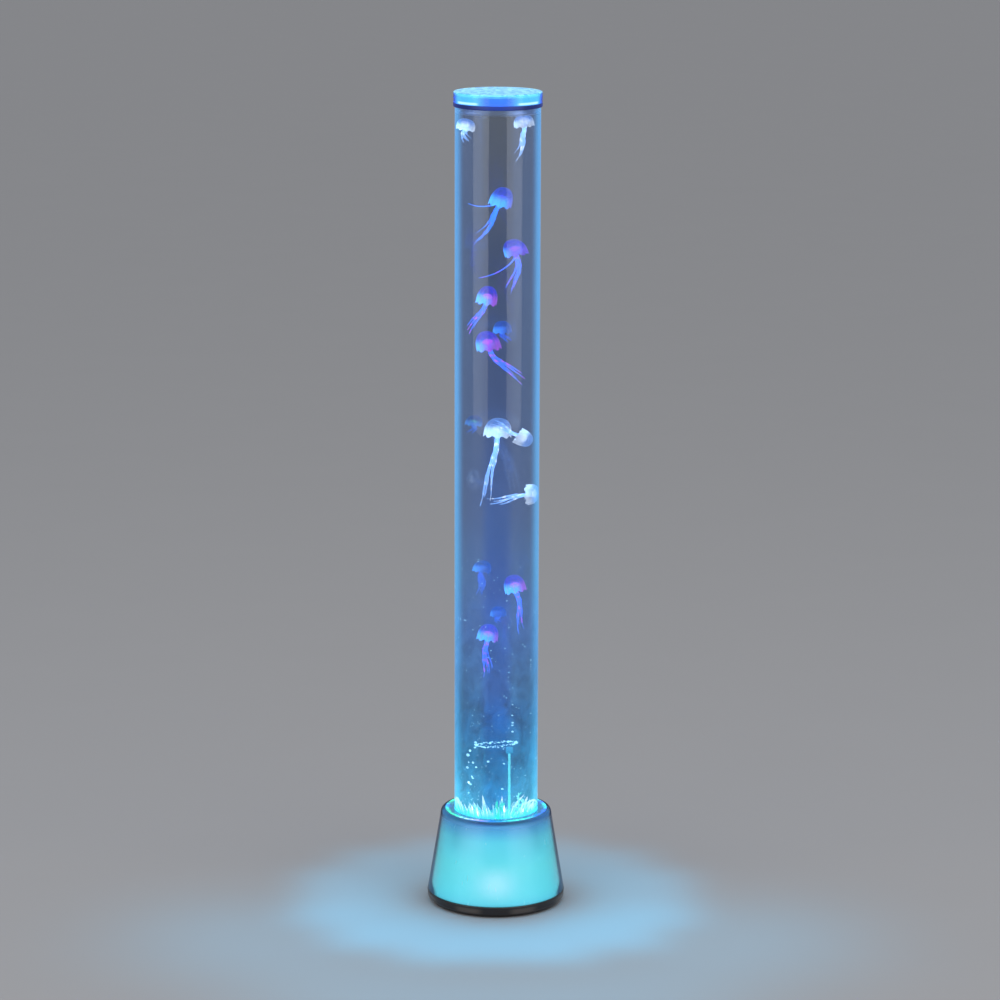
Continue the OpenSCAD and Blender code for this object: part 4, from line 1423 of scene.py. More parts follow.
@dataclass
class AirPump(SubAssembly):
    """The pump's soft part: the diaphragm, which the lever squeezes against the chamber."""

    place: Point = (10 * MM, -8 * MM)
    low: float = 26 * MM
    high: float = 30 * MM
    pad_r: float = 4.8 * MM
    rim_r: float = 8.4 * MM
    roll_r: float = 6.2 * MM
    roll_up: float = 1.5 * MM
    skin: float = 1.0 * MM
    mouth_r: float = 6.8 * MM
    hollow_r: float = 3.8 * MM
    edge_r: float = 0.12 * MM
    squeezed: float = 0.86

    def diaphragm(self) -> Piece:
        """The rubber cup: a thick pad, a rolled wall and a flat rim.

        Returns:
            The piece.
        """
        top = self.low + self.skin
        profile = [(0.0, self.low), (self.pad_r, self.low)]
        profile += bow((self.roll_r, self.low + self.roll_up), self.skin, -90, 30, 5)
        profile += [(self.rim_r, self.high - self.skin), (self.rim_r, self.high)]
        profile += [(self.mouth_r, self.high), (self.hollow_r, top), (0.0, top)]
        made = Shape()
        made.lathe(softened(profile, self.edge_r), 64)
        place = Matrix.Translation((*self.place, 0.0))
        return made.piece("diaphragm_cup", FINISHES["rubber_black"], place)

    def build(self) -> None:
        """Makes the diaphragm and gives it a mesh of its own."""
        cup = self.mount(self.diaphragm(), "rubber_black", ["pump_diaphragm"])
        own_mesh(cup)


@dataclass
class WaterTube(SubAssembly):
    """The acrylic tube and the water in it."""

    tube_r: float = 50.0 * MM
    bore_r: float = 47.0 * MM
    low: float = 94.0 * MM
    high: float = 971.0 * MM
    floor: float = 100.0 * MM
    surface: float = 951.0 * MM
    hold: float = 0.3 * MM
    edge_r: float = 0.6 * MM
    foot_gap: float = 0.02 * MM
    climb: float = 1.4 * MM
    drawn_up: tuple[Point, ...] = ((0.5 * MM, 0.55 * MM), (1.6 * MM, 0.1 * MM), (4 * MM, 0.0))

    def tube(self) -> Piece:
        """The tube's wall with eased edges.

        Returns:
            The piece.
        """
        profile = [(self.bore_r, self.low), (self.tube_r, self.low)]
        profile += [(self.tube_r, self.high), (self.bore_r, self.high)]
        made = Shape()
        made.lathe(softened(profile, self.edge_r), 256)
        return made.piece("acrylic_tube", TUBE)

    def water(self) -> Piece:
        """The water, a hair wider than the bore so that no air shows, with its edge drawn up the wall.

        Returns:
            The piece.
        """
        edge = self.bore_r + self.hold
        foot = self.floor + self.foot_gap
        profile = [(0.0, foot), (edge, foot), (edge, self.surface + self.climb)]
        profile += [(self.bore_r - inward, self.surface + up) for inward, up in self.drawn_up]
        profile += [(0.0, self.surface)]
        made = Shape()
        made.lathe(profile, 256)
        return made.piece("water", WATER, smooth=60.0)

    def build(self) -> None:
        """Makes the tube and its water."""
        self.mount(self.tube(), "clear", ["tube"])
        self.mount(self.water(), "clear_blue")


@dataclass
class LiftOffCap(SubAssembly):
    """The cap with its air vents and the sealing band under its skirt."""

    body: str = "cap"
    tube_top: float = 971 * MM
    in_r: float = 50.3 * MM
    out_r: float = 51.85 * MM
    skirt_low: float = 962.3 * MM
    top: float = 975 * MM
    corner: float = 2.0 * MM
    plug_r: float = 46.6 * MM
    plug_t: float = 3.0 * MM
    plug_low: float = 965 * MM
    seal_low: float = 957.3 * MM
    seal_bevel: float = 0.8 * MM
    seal_edge_r: float = 0.2 * MM
    edge_r: float = 0.25 * MM
    vent_r: float = 1.25 * MM
    vent_ring: float = 26 * MM
    vents: int = 3
    drill_length: float = 12 * MM

    def cap(self) -> Piece:
        """The cap, turned in one piece, with its vents drilled through the top.

        Returns:
            The piece.
        """
        profile = [(0.0, self.tube_top), (self.plug_r - self.plug_t, self.tube_top)]
        profile += [(self.plug_r - self.plug_t, self.plug_low), (self.plug_r, self.plug_low)]
        profile += [(self.plug_r, self.tube_top), (self.in_r, self.tube_top), (self.in_r, self.skirt_low)]
        profile += [(self.out_r, self.skirt_low)]
        profile += bow((self.out_r - self.corner, self.top - self.corner), self.corner, 0, 90, 8)
        profile += [(0.0, self.top)]
        shape = Shape()
        shape.lathe(softened(profile, self.edge_r), 224)
        blank = bpy.data.meshes.new("cap_blank")
        blank.from_pydata([tuple(p) for p in shape.points], [], shape.faces)
        tidy(blank)
        tree = Grower("vent_drill")
        count = tree.ask("Vents", self.vents)
        ring = tree.ask("Ring Radius", self.vent_ring)
        bore = tree.ask("Vent Radius", self.vent_r)
        spots = tree.node("GeometryNodeMeshCircle", {}, {"Vertices": count, "Radius": ring}).outputs[0]
        size = {"Vertices": 32, "Radius": bore, "Depth": self.drill_length}
        drill = tree.node("GeometryNodeMeshCylinder", {}, size).outputs[0]
        placed = {"Points": spots, "Instance": drill}
        drills = tree.node("GeometryNodeInstanceOnPoints", {}, placed).outputs[0]
        turned = {
            "Geometry": drills,
            "Translation": (0.0, 0.0, self.top),
            "Rotation": (0.0, 0.0, math.pi / 2),
        }
        real = tree.node("GeometryNodeRealizeInstances", {}, {
            0: tree.node("GeometryNodeTransform", {}, turned).outputs[0],
        }).outputs[0]
        cut = {"Mesh 1": tree.start(), "Mesh 2": real}
        drilled = tree.node("GeometryNodeMeshBoolean", {"operation": "DIFFERENCE"}, cut).outputs["Mesh"]
        return tree.grow("clear_cap", drilled, CAP, base=blank, smooth=38.0)

    def seal(self) -> Piece:
        """The sealing band.

        Returns:
            The piece.
        """
        profile = [(self.in_r, self.seal_low), (self.out_r - self.seal_bevel, self.seal_low)]
        profile += [(self.out_r, self.seal_low + self.seal_bevel), (self.out_r, self.skirt_low)]
        profile += [(self.in_r, self.skirt_low)]
        made = Shape()
        made.lathe(softened(profile, self.seal_edge_r), 224)
        return made.piece("seal_band", SEAL)

    def build(self) -> None:
        """Makes the cap."""
        self.mount(self.cap(), "cap_clear", ["top_cap"])
        self.mount(self.seal(), "silicone_navy", ["cap_seal"])


@dataclass
class AirStream(SubAssembly):
    """The air pipe and its bubbles: a ragged ring over the pipe, drifting strings and fine specks."""

    pipe: Point = (11.6 * MM, 0.0, 196.0 * MM)
    ring_r: float = 18.0 * MM
    specks: int = 260
    column_r: float = 44.0 * MM
    ring_bubbles: int = 84
    ring_tilt: float = -6.0
    ring_rise: float = 3 * MM
    string_front: float = -26.0
    string_size: float = 0.72

    def _spheres(self, tree: Grower, points: Socket, size: Num, detail: int) -> Socket:
        """Bubbles of a size at points.

        Args:
            tree: The tree that they are added to.
            points: Where they go.
            size: Radius at each point.
            detail: Subdivisions of each ball.

        Returns:
            Their instances.
        """
        sockets = {"Radius": 1.0, "Subdivisions": detail}
        ball = tree.node("GeometryNodeMeshIcoSphere", {}, sockets).outputs[0]
        flat = tree.vector(size, size, size * 0.86)
        sockets = {"Points": points, "Instance": ball, "Scale": flat}
        return tree.node("GeometryNodeInstanceOnPoints", {}, sockets).outputs[0]

    def dust(self) -> Piece:
        """Fine specks, densest low down.

        Returns:
            The piece.
        """
        tree = Grower("speck_grower")
        count = tree.ask("Count", self.specks)
        reach = tree.ask("Column Radius", self.column_r)
        low = tree.ask("Lowest", 118 * MM)
        high = tree.ask("Highest", 430 * MM)
        small = tree.ask("Smallest", 0.22 * MM)
        large = tree.ask("Largest", 0.62 * MM)
        seed = tree.ask("Seed", 11)
        line = tree.node("GeometryNodeMeshLine", {}, {"Count": count}).outputs[0]
        radius = tree.chance(0.02, 1.0, seed).math("SQRT") * reach
        turn = tree.chance(0.0, 2 * math.pi, seed + 1.0)
        rise = tree.chance(0.0, 1.0, seed + 2.0) ** 1.8
        z = low + (high - low) * rise
        spot = tree.vector(turn.math("COSINE") * radius, turn.math("SINE") * radius, z)
        points = tree.node("GeometryNodeSetPosition", {}, {"Geometry": line, "Position": spot}).outputs[0]
        size = tree.chance(small, large, seed + 3.0)
        return tree.grow("bubble_specks", self._spheres(tree, points, size, 1), AIR)

    def crown(self) -> Piece:
        """The ragged ring of bubbles at the top of the air pipe.

        Returns:
            The piece.
        """
        tree = Grower("ring_grower")
        count = tree.ask("Count", self.ring_bubbles)
        radius = tree.ask("Ring Radius", self.ring_r)
        small = tree.ask("Smallest", 0.4 * MM)
        large = tree.ask("Largest", 1.1 * MM)
        stray = tree.ask("Stray", 0.8 * MM)
        seed = tree.ask("Seed", 5)
        circle = tree.node("GeometryNodeMeshCircle", {}, {"Vertices": count, "Radius": radius}).outputs[0]
        off = tree.vector(
            tree.chance(stray * -1.0, stray, seed),
            tree.chance(stray * -1.0, stray, seed + 1.0),
            tree.chance(stray * -1.4, stray * 1.4, seed + 2.0),
        )
        points = tree.node("GeometryNodeSetPosition", {}, {"Geometry": circle, "Offset": off}).outputs[0]
        size = tree.chance(small, large, seed + 3.0)
        tilt = Matrix.Rotation(math.radians(self.ring_tilt), 4, "Y")
        place = Matrix.Translation((0.0, 0.0, self.pipe[2] + self.ring_rise)) @ tilt
        return tree.grow("bubble_ring", self._spheres(tree, points, size, 2), AIR, place=place)

    def strings(self) -> Piece:
        """Single larger bubbles on two drifting strings and above the pipe.

        Returns:
            The piece.
        """
        spots = [(-21.0, 203.5, 2.0), (-23.6, 199, 1.7), (-29.2, 194.2, 2.3), (-31.5, 188.2, 3.0)]
        spots += [(-26.0, 180.4, 2.0), (-31.0, 179.6, 1.5), (-22.2, 174.9, 1.7), (-29.7, 171.2, 2.1)]
        spots += [(-27.2, 162.6, 1.8), (-23.4, 158.8, 1.5), (-31.2, 155.1, 2.6), (-26.6, 151.4, 1.7)]
        spots += [(-8.4, 181.9, 1.9), (6.8, 175, 1.3), (5.4, 144, 1.5)]
        spots += [(14.2, 214, 1.6), (14.0, 222, 1.3), (14.2, 225, 1.5), (14.0, 234, 1.2), (14.2, 247, 0.9)]
        points = []
        for x, z, _ in spots:
            y = self.string_front + 9 * math.sin(z) if x < 0 else 2
            points.append((x * MM, y * MM, z * MM))
        mesh = bpy.data.meshes.new("string_points")
        mesh.from_pydata(points, [], [])
        sizes = [s * MM * self.string_size for _, _, s in spots]
        mesh.attributes.new("size", "FLOAT", "POINT").data.foreach_set("value", sizes)
        tree = Grower("string_grower")
        factor = tree.ask("Size Factor", 1.0)
        named = tree.node("GeometryNodeInputNamedAttribute", {"data_type": "FLOAT"}, {"Name": "size"})
        size = Num(tree, named.outputs[0]) * factor
        return tree.grow("bubble_strings", self._spheres(tree, tree.start(), size, 2), AIR, base=mesh)

    def riser(self) -> Piece:
        """The thin clear pipe that carries the air up to its stone.

        Returns:
            The piece.
        """
        profile = [(1.25, 102.0), (2.0, 102.0), (2.0, 186.6), (2.3, 187.2), (2.3, 188.0), (1.25, 188.0)]
        made = Shape()
        made.lathe(softened([(r * MM, z * MM) for r, z in profile], 0.15 * MM), 40)
        return made.piece("air_riser", PIPE, Matrix.Translation((self.pipe[0], self.pipe[1], 0.0)))

    def column(self) -> Piece:
        """The air in the pipe, which carries the light of the boards up to the stone.

        Returns:
            The piece.
        """
        profile = [(0.0, 102.2), (1.15, 102.2)]
        profile += [(1.15 + 0.12 * math.sin(z * 0.9) ** 3, float(z)) for z in range(104, 187)]
        profile += [(1.1, 187.8), (0.0, 187.8)]
        made = Shape()
        made.lathe([(r * MM, z * MM) for r, z in profile], 24)
        return made.piece("air_column", RISER, Matrix.Translation((self.pipe[0], self.pipe[1], 0.0)))

    def build(self) -> None:
        """Makes the air pipe's looks and the bubbles."""
        self.mount(self.riser(), "clear", ["air_pipe"])
        self.mount(self.column(), "clear")
        for piece in (self.dust(), self.crown(), self.strings()):
            self.mount(piece, "clear")


@dataclass
class WaterGarden(SubAssembly):
    """The grass and its mat on the tube's floor."""

    mat_r: float = 46.5 * MM
    mat_low: float = 100.0 * MM
    mat_top: float = 102.0 * MM
    blades: int = 260
    blade_h: float = 34.0 * MM
    root_depth: float = 0.6 * MM
    bare_edge: float = 4.5 * MM
    golden_turn: float = 137.508

    def _blade(self) -> bpy.types.Mesh:
        """One blade, a metre tall, creased along its middle and bent outwards.

        Returns:
            The pattern mesh.
        """
        rows = [(0.0, 0.040, 0.0), (0.18, 0.062, 0.01), (0.42, 0.058, 0.04)]
        rows += [(0.66, 0.040, 0.09), (0.86, 0.018, 0.16)]
        shape = Shape()
        points: list[Point] = []
        for z, half, lean in rows:
            points += [(-half, lean + 0.012, z), (0.0, lean - 0.014, z)]
            points += [(half, lean + 0.012, z), (0.0, lean + 0.024, z)]
        points.append((0.0, 0.22, 1.0))
        faces: Faces = [(3, 2, 1, 0)]
        for r in range(len(rows) - 1):
            faces += band(4 * r, 4 * r + 4, 4)
        top = 4 * (len(rows) - 1)
        faces += [(top + i, top + (i + 1) % 4, 4 * len(rows)) for i in range(4)]
        shape.add(points, faces)
        mesh = bpy.data.meshes.new("blade")
        mesh.from_pydata(shape.points, [], shape.faces)
        tidy(mesh)
        return mesh

    def grass(self) -> Piece:
        """Blades in spiral order over the mat, taller towards the wall.

        Returns:
            The piece.
        """
        blade = bpy.data.objects.new("blade_pattern", self._blade())
        bpy.context.scene.collection.objects.link(blade)
        tree = Grower("grass_grower")
        count = tree.ask("Blades", self.blades)
        reach = tree.ask("Mat Radius", self.mat_r - self.bare_edge)
        tall = tree.ask("Tallest", self.blade_h)
        seed = tree.ask("Seed", 3)
        index = Num(tree, tree.node("GeometryNodeInputIndex").outputs[0])
        line = tree.node("GeometryNodeMeshLine", {}, {"Count": count}).outputs[0]
        turn = index * math.radians(self.golden_turn)
        out = (index / count * 0.94 + 0.06).math("SQRT")
        radius = out * reach
        root_z = self.mat_top - self.root_depth
        spot = tree.vector(turn.math("COSINE") * radius, turn.math("SINE") * radius, root_z)
        points = tree.node("GeometryNodeSetPosition", {}, {"Geometry": line, "Position": spot}).outputs[0]
        height = tall * tree.chance(0.38, 1.0, seed) * (out * 0.35 + 0.6)
        lean = tree.chance(-0.16, 0.3, seed + 1.0)
        swing = tree.chance(-0.7, 0.7, seed + 2.0)
        bend = tree.vector(lean * -1.0, tree.chance(-0.25, 0.25, seed + 3.0), turn + swing - math.pi / 2)
        width = height * tree.chance(0.75, 1.25, seed + 4.0)
        sockets = {
            "Points": points,
            "Instance": self._as_instance(tree, blade),
            "Rotation": bend,
            "Scale": tree.vector(width, width, height),
        }
        planted = tree.node("GeometryNodeInstanceOnPoints", {}, sockets).outputs[0]
        made = tree.grow("grass", planted, GRASS, smooth=50.0)
        bpy.data.objects.remove(blade)
        return made

    @staticmethod
    def _as_instance(tree: Grower, pattern: Piece) -> Socket:
        """An object's geometry inside a tree."""
        made = tree.node("GeometryNodeObjectInfo", {}, {"Object": pattern, "As Instance": False})
        return made.outputs["Geometry"]

    def mat(self) -> Piece:
        """The mat, a thin disc with a wavy top and rounded edge.

        Returns:
            The piece.
        """
        rows = [(0.99, 0.0), (1.0, 0.4), (0.985, 1.2), (0.93, 1.8)]
        rows += [(0.7, 2.1), (0.45, 1.9), (0.2, 2.1), (0.0, 1.9)]
        profile = [(0.0, self.mat_low)]
        profile += [(self.mat_r * r, self.mat_low + z * MM) for r, z in rows]
        made = Shape()
        made.lathe(profile, 96)
        return made.piece("grass_bed", BED)

    def build(self) -> None:
        """Makes the garden."""
        self.mount(self.grass(), "grass", ["grass_mat"])
        self.mount(self.mat(), "grass")


@dataclass
class Jellyfish(SubAssembly):
    """One jellyfish: bell with a lobed rim, four-lobed core, frilled arms and fine threads round the rim.

    Its numbers repeat those of the CAD model. Its place across and behind the axis is in percent of the
    bore's radius, its height in percent of the water's depth, and its lean in degrees. The bell's width,
    the arms' length and drift and the streamer's reach are in mm.
    """

    number: int = 1
    across: float = 0.0
    behind: float = 0.0
    up: float = 50.0
    width: float = 20.0
    lean: float = 0.0
    arm_length: float = 40.0
    drift: tuple[float, float] = (0.0, 0.0)
    streamer: tuple[float, float] = (0.0, 0.0)
    mood: Mood = Mood.BLUE
    bore_r: float = 47.0
    floor: float = 100.0
    depth: float = 851.0
    rise: float = 0.82
    dome: float = 1.9
    dome_at_surface: float = 1.2
    dome_by_wall: float = 1.15
    surface_from: float = 98.0
    wall_from: float = 60.0
    wall: float = 1.1
    rim_skin: float = 0.45
    hem_from: float = 0.72
    hem_drop: float = 0.2
    lobes: int = 8
    arm_r: float = 1.45
    arms: int = 5
    phase_step: int = 83
    largest_core: float = 4.2
    golden_share: float = 0.618

    def __post_init__(self) -> None:
        """Names its body, and keeps its bell under the water's surface and inside the tube's wall."""
        self.body = f"jellyfish_{self.number:02d}"
        if self.up > self.surface_from:
            self.dome = self.dome_at_surface
        elif abs(self.across) > self.wall_from:
            self.dome = self.dome_by_wall

    @property
    def radius(self) -> float:
        """The bell's radius, mm."""
        return self.width / 2

    @property
    def height(self) -> float:
        """The bell's height, mm."""
        return self.radius * self.rise

    @property
    def core(self) -> float:
        """The core's radius, mm."""
        return min(self.largest_core, self.radius * 0.42)

    @property
    def core_z(self) -> float:
        """The core's height over the rim, mm."""
        return self.height - self.wall - self.core * 0.8

    def place(self) -> Matrix:
        """Its place and lean in the lamp's frame, for sizes in mm.

        Returns:
            The matrix.
        """
        spot = Vector((
            self.across * self.bore_r / 100,
            self.behind * self.bore_r / 100,
            self.floor + self.depth * self.up / 100 - self.height / 2,
        ))
        turn = Matrix.Rotation(math.radians(self.lean), 4, "Y")
        return Matrix.Scale(MM, 4) @ Matrix.Translation(spot) @ turn

    def bell(self) -> Piece:
        """The bell: a dome of two skins that meet in a lobed rim.

        Returns:
            The piece.
        """
        sides = self.lobes * 5
        crown, reach = 90, 97
        outer = [crown - reach * i / 16 for i in range(17)]
        inner = [-3 + 93 * i / 12 for i in range(13)]
        shape = Shape()
        points: list[Point] = []
        rim: list[float] = []
        canal: list[float] = []
        lit_side: list[float] = []
        tall = self.height * self.dome
        for inside, angles in ((False, outer), (True, inner)):
            for angle in angles:
                a = math.radians(angle)
                down = (crown - angle) / reach
                thicker = self.wall + 0.5 - self.rim_skin
                skin = self.rim_skin + thicker * (1 - min(1.0, down)) ** 0.8 if inside else 0.0
                for s in range(sides):
                    turn = 2 * math.pi * s / sides
                    lobe = 0.5 + 0.5 * math.cos(self.lobes * turn)
                    swell = 1 + 0.05 * (lobe - 0.5) * down ** 2
                    r = (self.radius - skin) * max(0.0, math.cos(a)) ** 0.82 * swell
                    drop = self.hem_drop * tall * math.sqrt(lobe) * max(0.0, down - self.hem_from) * 3.6
                    z = (tall - skin) * math.sin(a) - drop
                    points.append((r * math.cos(turn), r * math.sin(turn), z))
                    rim.append(min(1.0, down))
                    canal.append(0.5 + 0.5 * math.cos(2 * self.lobes * turn))
                    lit_side.append(0.5 - 0.5 * math.cos(turn + 0.7 * math.sin(3.7 * self.number)))
        rows = len(outer) + len(inner)
        faces: Faces = []
        for r in range(rows - 1):
            faces += band(r * sides, (r + 1) * sides, sides)
        shape.add(points, faces, rim=rim, canal=canal, side=lit_side)
        skin = BellSkin(f"bell_{self.mood.name}", self.mood)
        return shape.piece(f"jelly_{self.number:02d}_bell", skin, self.place(), 70)

    def heart(self) -> Piece:
        """The core, four lobes round a stalk.

        Returns:
            The piece.
        """
        shape = Shape()
        rows, sides = 12, 32
        points: list[Point] = []
        for r in range(1, rows):
            a = math.pi * r / rows
            for s in range(sides):
                turn = 2 * math.pi * s / sides
                lobe = 1 + 0.16 * math.cos(4 * turn) * math.sin(a) ** 2
                out = self.core * 1.02 * math.sin(a) * lobe
                z = self.core_z + self.core * 0.8 * math.cos(a)
                points.append((out * math.cos(turn), out * math.sin(turn), z))
        rings = [points[i * sides:(i + 1) * sides] for i in range(rows - 1)]
        top = Vector((0, 0, self.core_z + self.core * 0.72))
        foot = Vector((0, 0, self.core_z - self.core * 0.86))
        shape.sweep([top, foot], rings)
        flesh = CoreFlesh(f"core_{self.mood.name}", self.mood)
        return shape.piece(f"jelly_{self.number:02d}_core", flesh, self.place(), 90)

    def _arm_path(self, index: int, steps: int = 44) -> list[Vector]:
        """The line of one arm, by the CAD model's rule.

        Args:
            index: The arm's number.
            steps: Parts that the arm is cut into.

        Returns:
            Its points in mm.
        """
        phase = self.phase_step * (self.number - 1)
        turn = math.radians(360 / self.arms * index + phase)
        x0, y0 = self.core * 0.62 * math.cos(turn), self.core * 0.62 * math.sin(turn)
        z0 = self.core_z - self.core * 0.2
        share = ((index + self.number - 1) * self.golden_share) % 1.0
        long = (self.arm_length + self.core_z) * (0.7 + 0.3 * share)
        path = []
        for i in range(steps + 1):
            t = i / steps
            spread = 0.5 + t * t
            x = x0 * spread + self.drift[0] * t * t + 1.6 * t * math.sin(math.radians(430 * t + phase))
            y = y0 * spread + self.drift[1] * t * t + 1.2 * t * math.cos(math.radians(380 * t + phase))
            path.append(Vector((x, y, z0 - long * t)))
        return path

    def arm_set(self) -> Piece:
        """The arms, twisted ribbons with a frill along both edges, and the streamer.

        Returns:
            The piece.
        """
        shape = Shape()
        for index in range(self.arms):
            path = self._arm_path(index)
            rings, along, frill = [], [0.0], [0.5]
            for i, p in enumerate(path):
                t = i / (len(path) - 1)
                ahead = (path[min(i + 1, len(path) - 1)] - path[max(i - 1, 0)]).normalized()
                side = ahead.cross(Vector((math.cos(1.3 * index), math.sin(1.3 * index), 0.0))).normalized()
                side = Matrix.Rotation(3.2 * t + index, 3, ahead) @ side
                thick = ahead.cross(side)
                half = self.arm_r * (1.25 - 0.95 * t) * (1 + 0.16 * math.sin(31 * t + index))
                wave = 0.42 * (1 - 0.6 * t) * math.sin(46 * t + 2 * index)
                ring = []
                for k in range(8):
                    a = 2 * math.pi * k / 8
                    edge = abs(math.cos(a)) ** 3
                    off = side * (half * math.cos(a))
                    lift = 0.34 * half * math.sin(a) + wave * edge * math.copysign(1.0, math.cos(a))
                    ring.append(p + (off + thick * lift))
                    along.append(t)
                    frill.append(edge)
                rings.append(ring)
            shape.sweep(path, rings, along=along + [1.0], frill=frill + [0.5])
        if any(self.streamer):
            self._add_streamer(shape)
        flesh = ArmFlesh(f"arms_{self.mood.name}", self.mood)
        return shape.piece(f"jelly_{self.number:02d}_arms", flesh, self.place(), 60)

    def _add_streamer(self, shape: Shape) -> None:
        """Adds the long thin streamer that trails to one side.

        Args:
            shape: The mesh it joins.
        """
        start = Vector((0, 0, self.core_z - self.core * 0.9))
        steps, sides = 36, 7
        path = []
        for i in range(steps + 1):
            t = i / steps
            x = self.streamer[0] * t
            y = 1.5 * math.sin(math.radians(300 * t))
            z = self.streamer[1] * math.sqrt(t) - 3 * math.sin(math.radians(180 * t))
            path.append(start + Vector((x, y, z)))
        rings, along = [], [0.0]
        for i, p in enumerate(path):
            t = i / steps
            ahead = (path[min(i + 1, steps)] - path[max(i - 1, 0)]).normalized()
            side = ahead.cross(Vector((0, 1, 0))).normalized()
            other = ahead.cross(side)
            r = 0.8 - 0.42 * t
            turns = [2 * math.pi * k / sides for k in range(sides)]
            rings.append([p + side * (r * math.cos(a)) + other * (r * math.sin(a)) for a in turns])
            along += [t * 0.6] * sides
        shape.sweep(path, rings, along=along + [0.6], frill=[0.4] * (len(along) + 1))

    def threads(self) -> Piece:
        """Fine threads that hang from the rim's lobes.

        Returns:
            The piece.
        """
        tree = Grower(f"thread_grower_{self.number:02d}")
        count = tree.ask("Threads", self.lobes * 2)
        ring = tree.ask("Rim Radius", self.radius * 0.955)
        length = tree.ask("Length", self.height * 0.42)
        thick = tree.ask("Thickness", 0.2)
        seed = tree.ask("Seed", self.number)
        turn = Num(tree, tree.node("GeometryNodeInputIndex").outputs[0]) / count * (2 * math.pi)
        line = tree.node("GeometryNodeMeshCircle", {}, {"Vertices": count, "Radius": ring}).outputs[0]
        sockets = {
            "Resolution": 5,
            "Start": (0, 0, 0.25),
            "Middle": (0.12, 0.06, -0.5),
            "End": (-0.06, 0.0, -1.0),
        }
        strand = tree.node("GeometryNodeCurveQuadraticBezier", {}, sockets).outputs[0]
        sockets = {"Resolution": 3, "Radius": thick}
        outline = tree.node("GeometryNodeCurvePrimitiveCircle", {}, sockets).outputs[0]
        sockets = {"Curve": strand, "Profile Curve": outline, "Fill Caps": True}
        body = tree.node("GeometryNodeCurveToMesh", {}, sockets).outputs[0]
        size = length * tree.chance(0.5, 1.0, seed)
        sockets = {
            "Points": line,
            "Instance": body,
            "Rotation": tree.vector(tree.chance(-0.2, 0.2, seed + 7.0), 0.0, turn),
            "Scale": tree.vector(1.0, 1.0, size),
        }
        made = tree.node("GeometryNodeInstanceOnPoints", {}, sockets).outputs[0]
        name = f"jelly_{self.number:02d}_threads"
        return tree.grow(name, made, ArmFlesh(f"arms_{self.mood.name}", self.mood), place=self.place())

    def build(self) -> None:
        """Makes the jellyfish."""
        slot = "jelly_violet" if self.mood in (Mood.PINK, Mood.VIOLET) else "jelly_blue"
        self.mount(self.bell(), slot, [self.body])
        for piece in (self.heart(), self.arm_set(), self.threads()):
            self.mount(piece, slot)


# Across, behind, up, width, lean, arms' length, arms' drift (2), streamer (2) and mood of each jellyfish.
JELLIES: tuple[tuple[float | Mood, ...], ...] = (
    (-64, 0, 98.1, 20, 12, 17, 4, 0, 0, 0, Mood.WHITE),
    (54, -21, 98.8, 21, -8, 42, -12, 0, 0, 0, Mood.WHITE),
    (6, -30, 88.3, 22, 14, 55, -10, 2, -31, -10, Mood.BLUE),
    (31, 30, 80.9, 19, -14, 48, -13, 0, -36, -22, Mood.VIOLET),
    (-23, -42, 75.0, 21, 10, 42, -12, 0, 0, 0, Mood.PINK),
    (8, 47, 69.9, 14, 0, 14, 3, 0, 0, 0, Mood.FAINT),
    (-17, -4, 68.4, 22, -10, 50, 23, 0, 0, 0, Mood.PINK),
    (-36, 51, 56.9, 12, 6, 12, 0, 0, 0, 0, Mood.GREEN),
    (50, -31, 55.9, 19, 122, 34, 0, 0, 0, 0, Mood.WHITE),
    (1, 30, 56.1, 22, 4, 94, -5, 2, 0, 0, Mood.WHITE),
    (66, -8, 47.7, 24, 86, 42, 5, 0, 0, 0, Mood.WHITE),
    (-24, 39, 36.6, 14, 8, 33, 4, 0, 0, 0, Mood.FAINT),
    (38, -22, 34.6, 21, -12, 56, -4, 0, 0, 0, Mood.PINK),
    (3, 48, 30.2, 12, 0, 11, 0, 0, 0, 0, Mood.FAINT),
    (-18, -22, 27.7, 20, 8, 50, 5, 0, 0, 0, Mood.PINK),
)


# ---- Named finishes ----

SHELL = Clear(
    "shell_clear", dye("e4f2ff"), dye("061c3c"), 0.64, 0.78, 1.42, 0.26, (60.0, 30.0, 12.0),
    scratches=0.0012 * MM, satin_above=106 * MM, wide_below=30 * MM,
)
FROST = GlowFrost("frost_glow")
TUBE = Clear(
    "tube_acrylic", dye("f2f8ff"), dye("e4f0ff"),
    glow=(
        (0.0, dye("10a0b8")), (0.03, dye("188cac")), (0.08, dye("107ca0")), (0.2, dye("106490")),
        (0.35, dye("187ca8")), (0.6, dye("358ac2")), (1.0, dye("3f8cc4")),
    ),
    glow_heights=(0.11, 0.95), glow_from=0.36, glow_to=0.7, glow_outside=48.5 * MM,
)
WATER = Water(
    "lit_water",
    sides=(
        (0.0, dye("4aa4be")), (0.015, dye("3f98b4")), (0.04, dye("3694b4")), (0.06, dye("2a7c9c")),
        (0.1, dye("16648a")), (0.15, dye("1a567e")), (0.2, dye("2c5579")), (0.28, dye("355482")),
        (0.36, dye("345072")), (0.45, dye("303f5a")), (1.0, dye("323c52")),
    ),
    painted_reflection_stripe=(
        (0.0, dye("3aa0c8")), (0.02, dye("2a8cc4")), (0.05, dye("1470a4")), (0.08, dye("0c5c88")),
        (0.155, dye("0a4e90")), (0.2, dye("284b84")), (0.27, dye("2c5090")), (0.34, dye("244280")),
        (0.42, dye("1b3a6c")), (0.6, dye("1c2c50")), (0.8, dye("1a2238")), (1.0, dye("34322e")),
    ),
)
AIR = AirPearl("air_pearl")
PIPE = Clear("pipe_clear", dye("d8f4ff"), dye("8fd4e8"), 0.4, 0.9)
RISER = LitRiser("riser_lit", strength=1.9)
GRASS = Blade("grass_lit", strength=3.0)
CAP = LitCap("cap_lit")
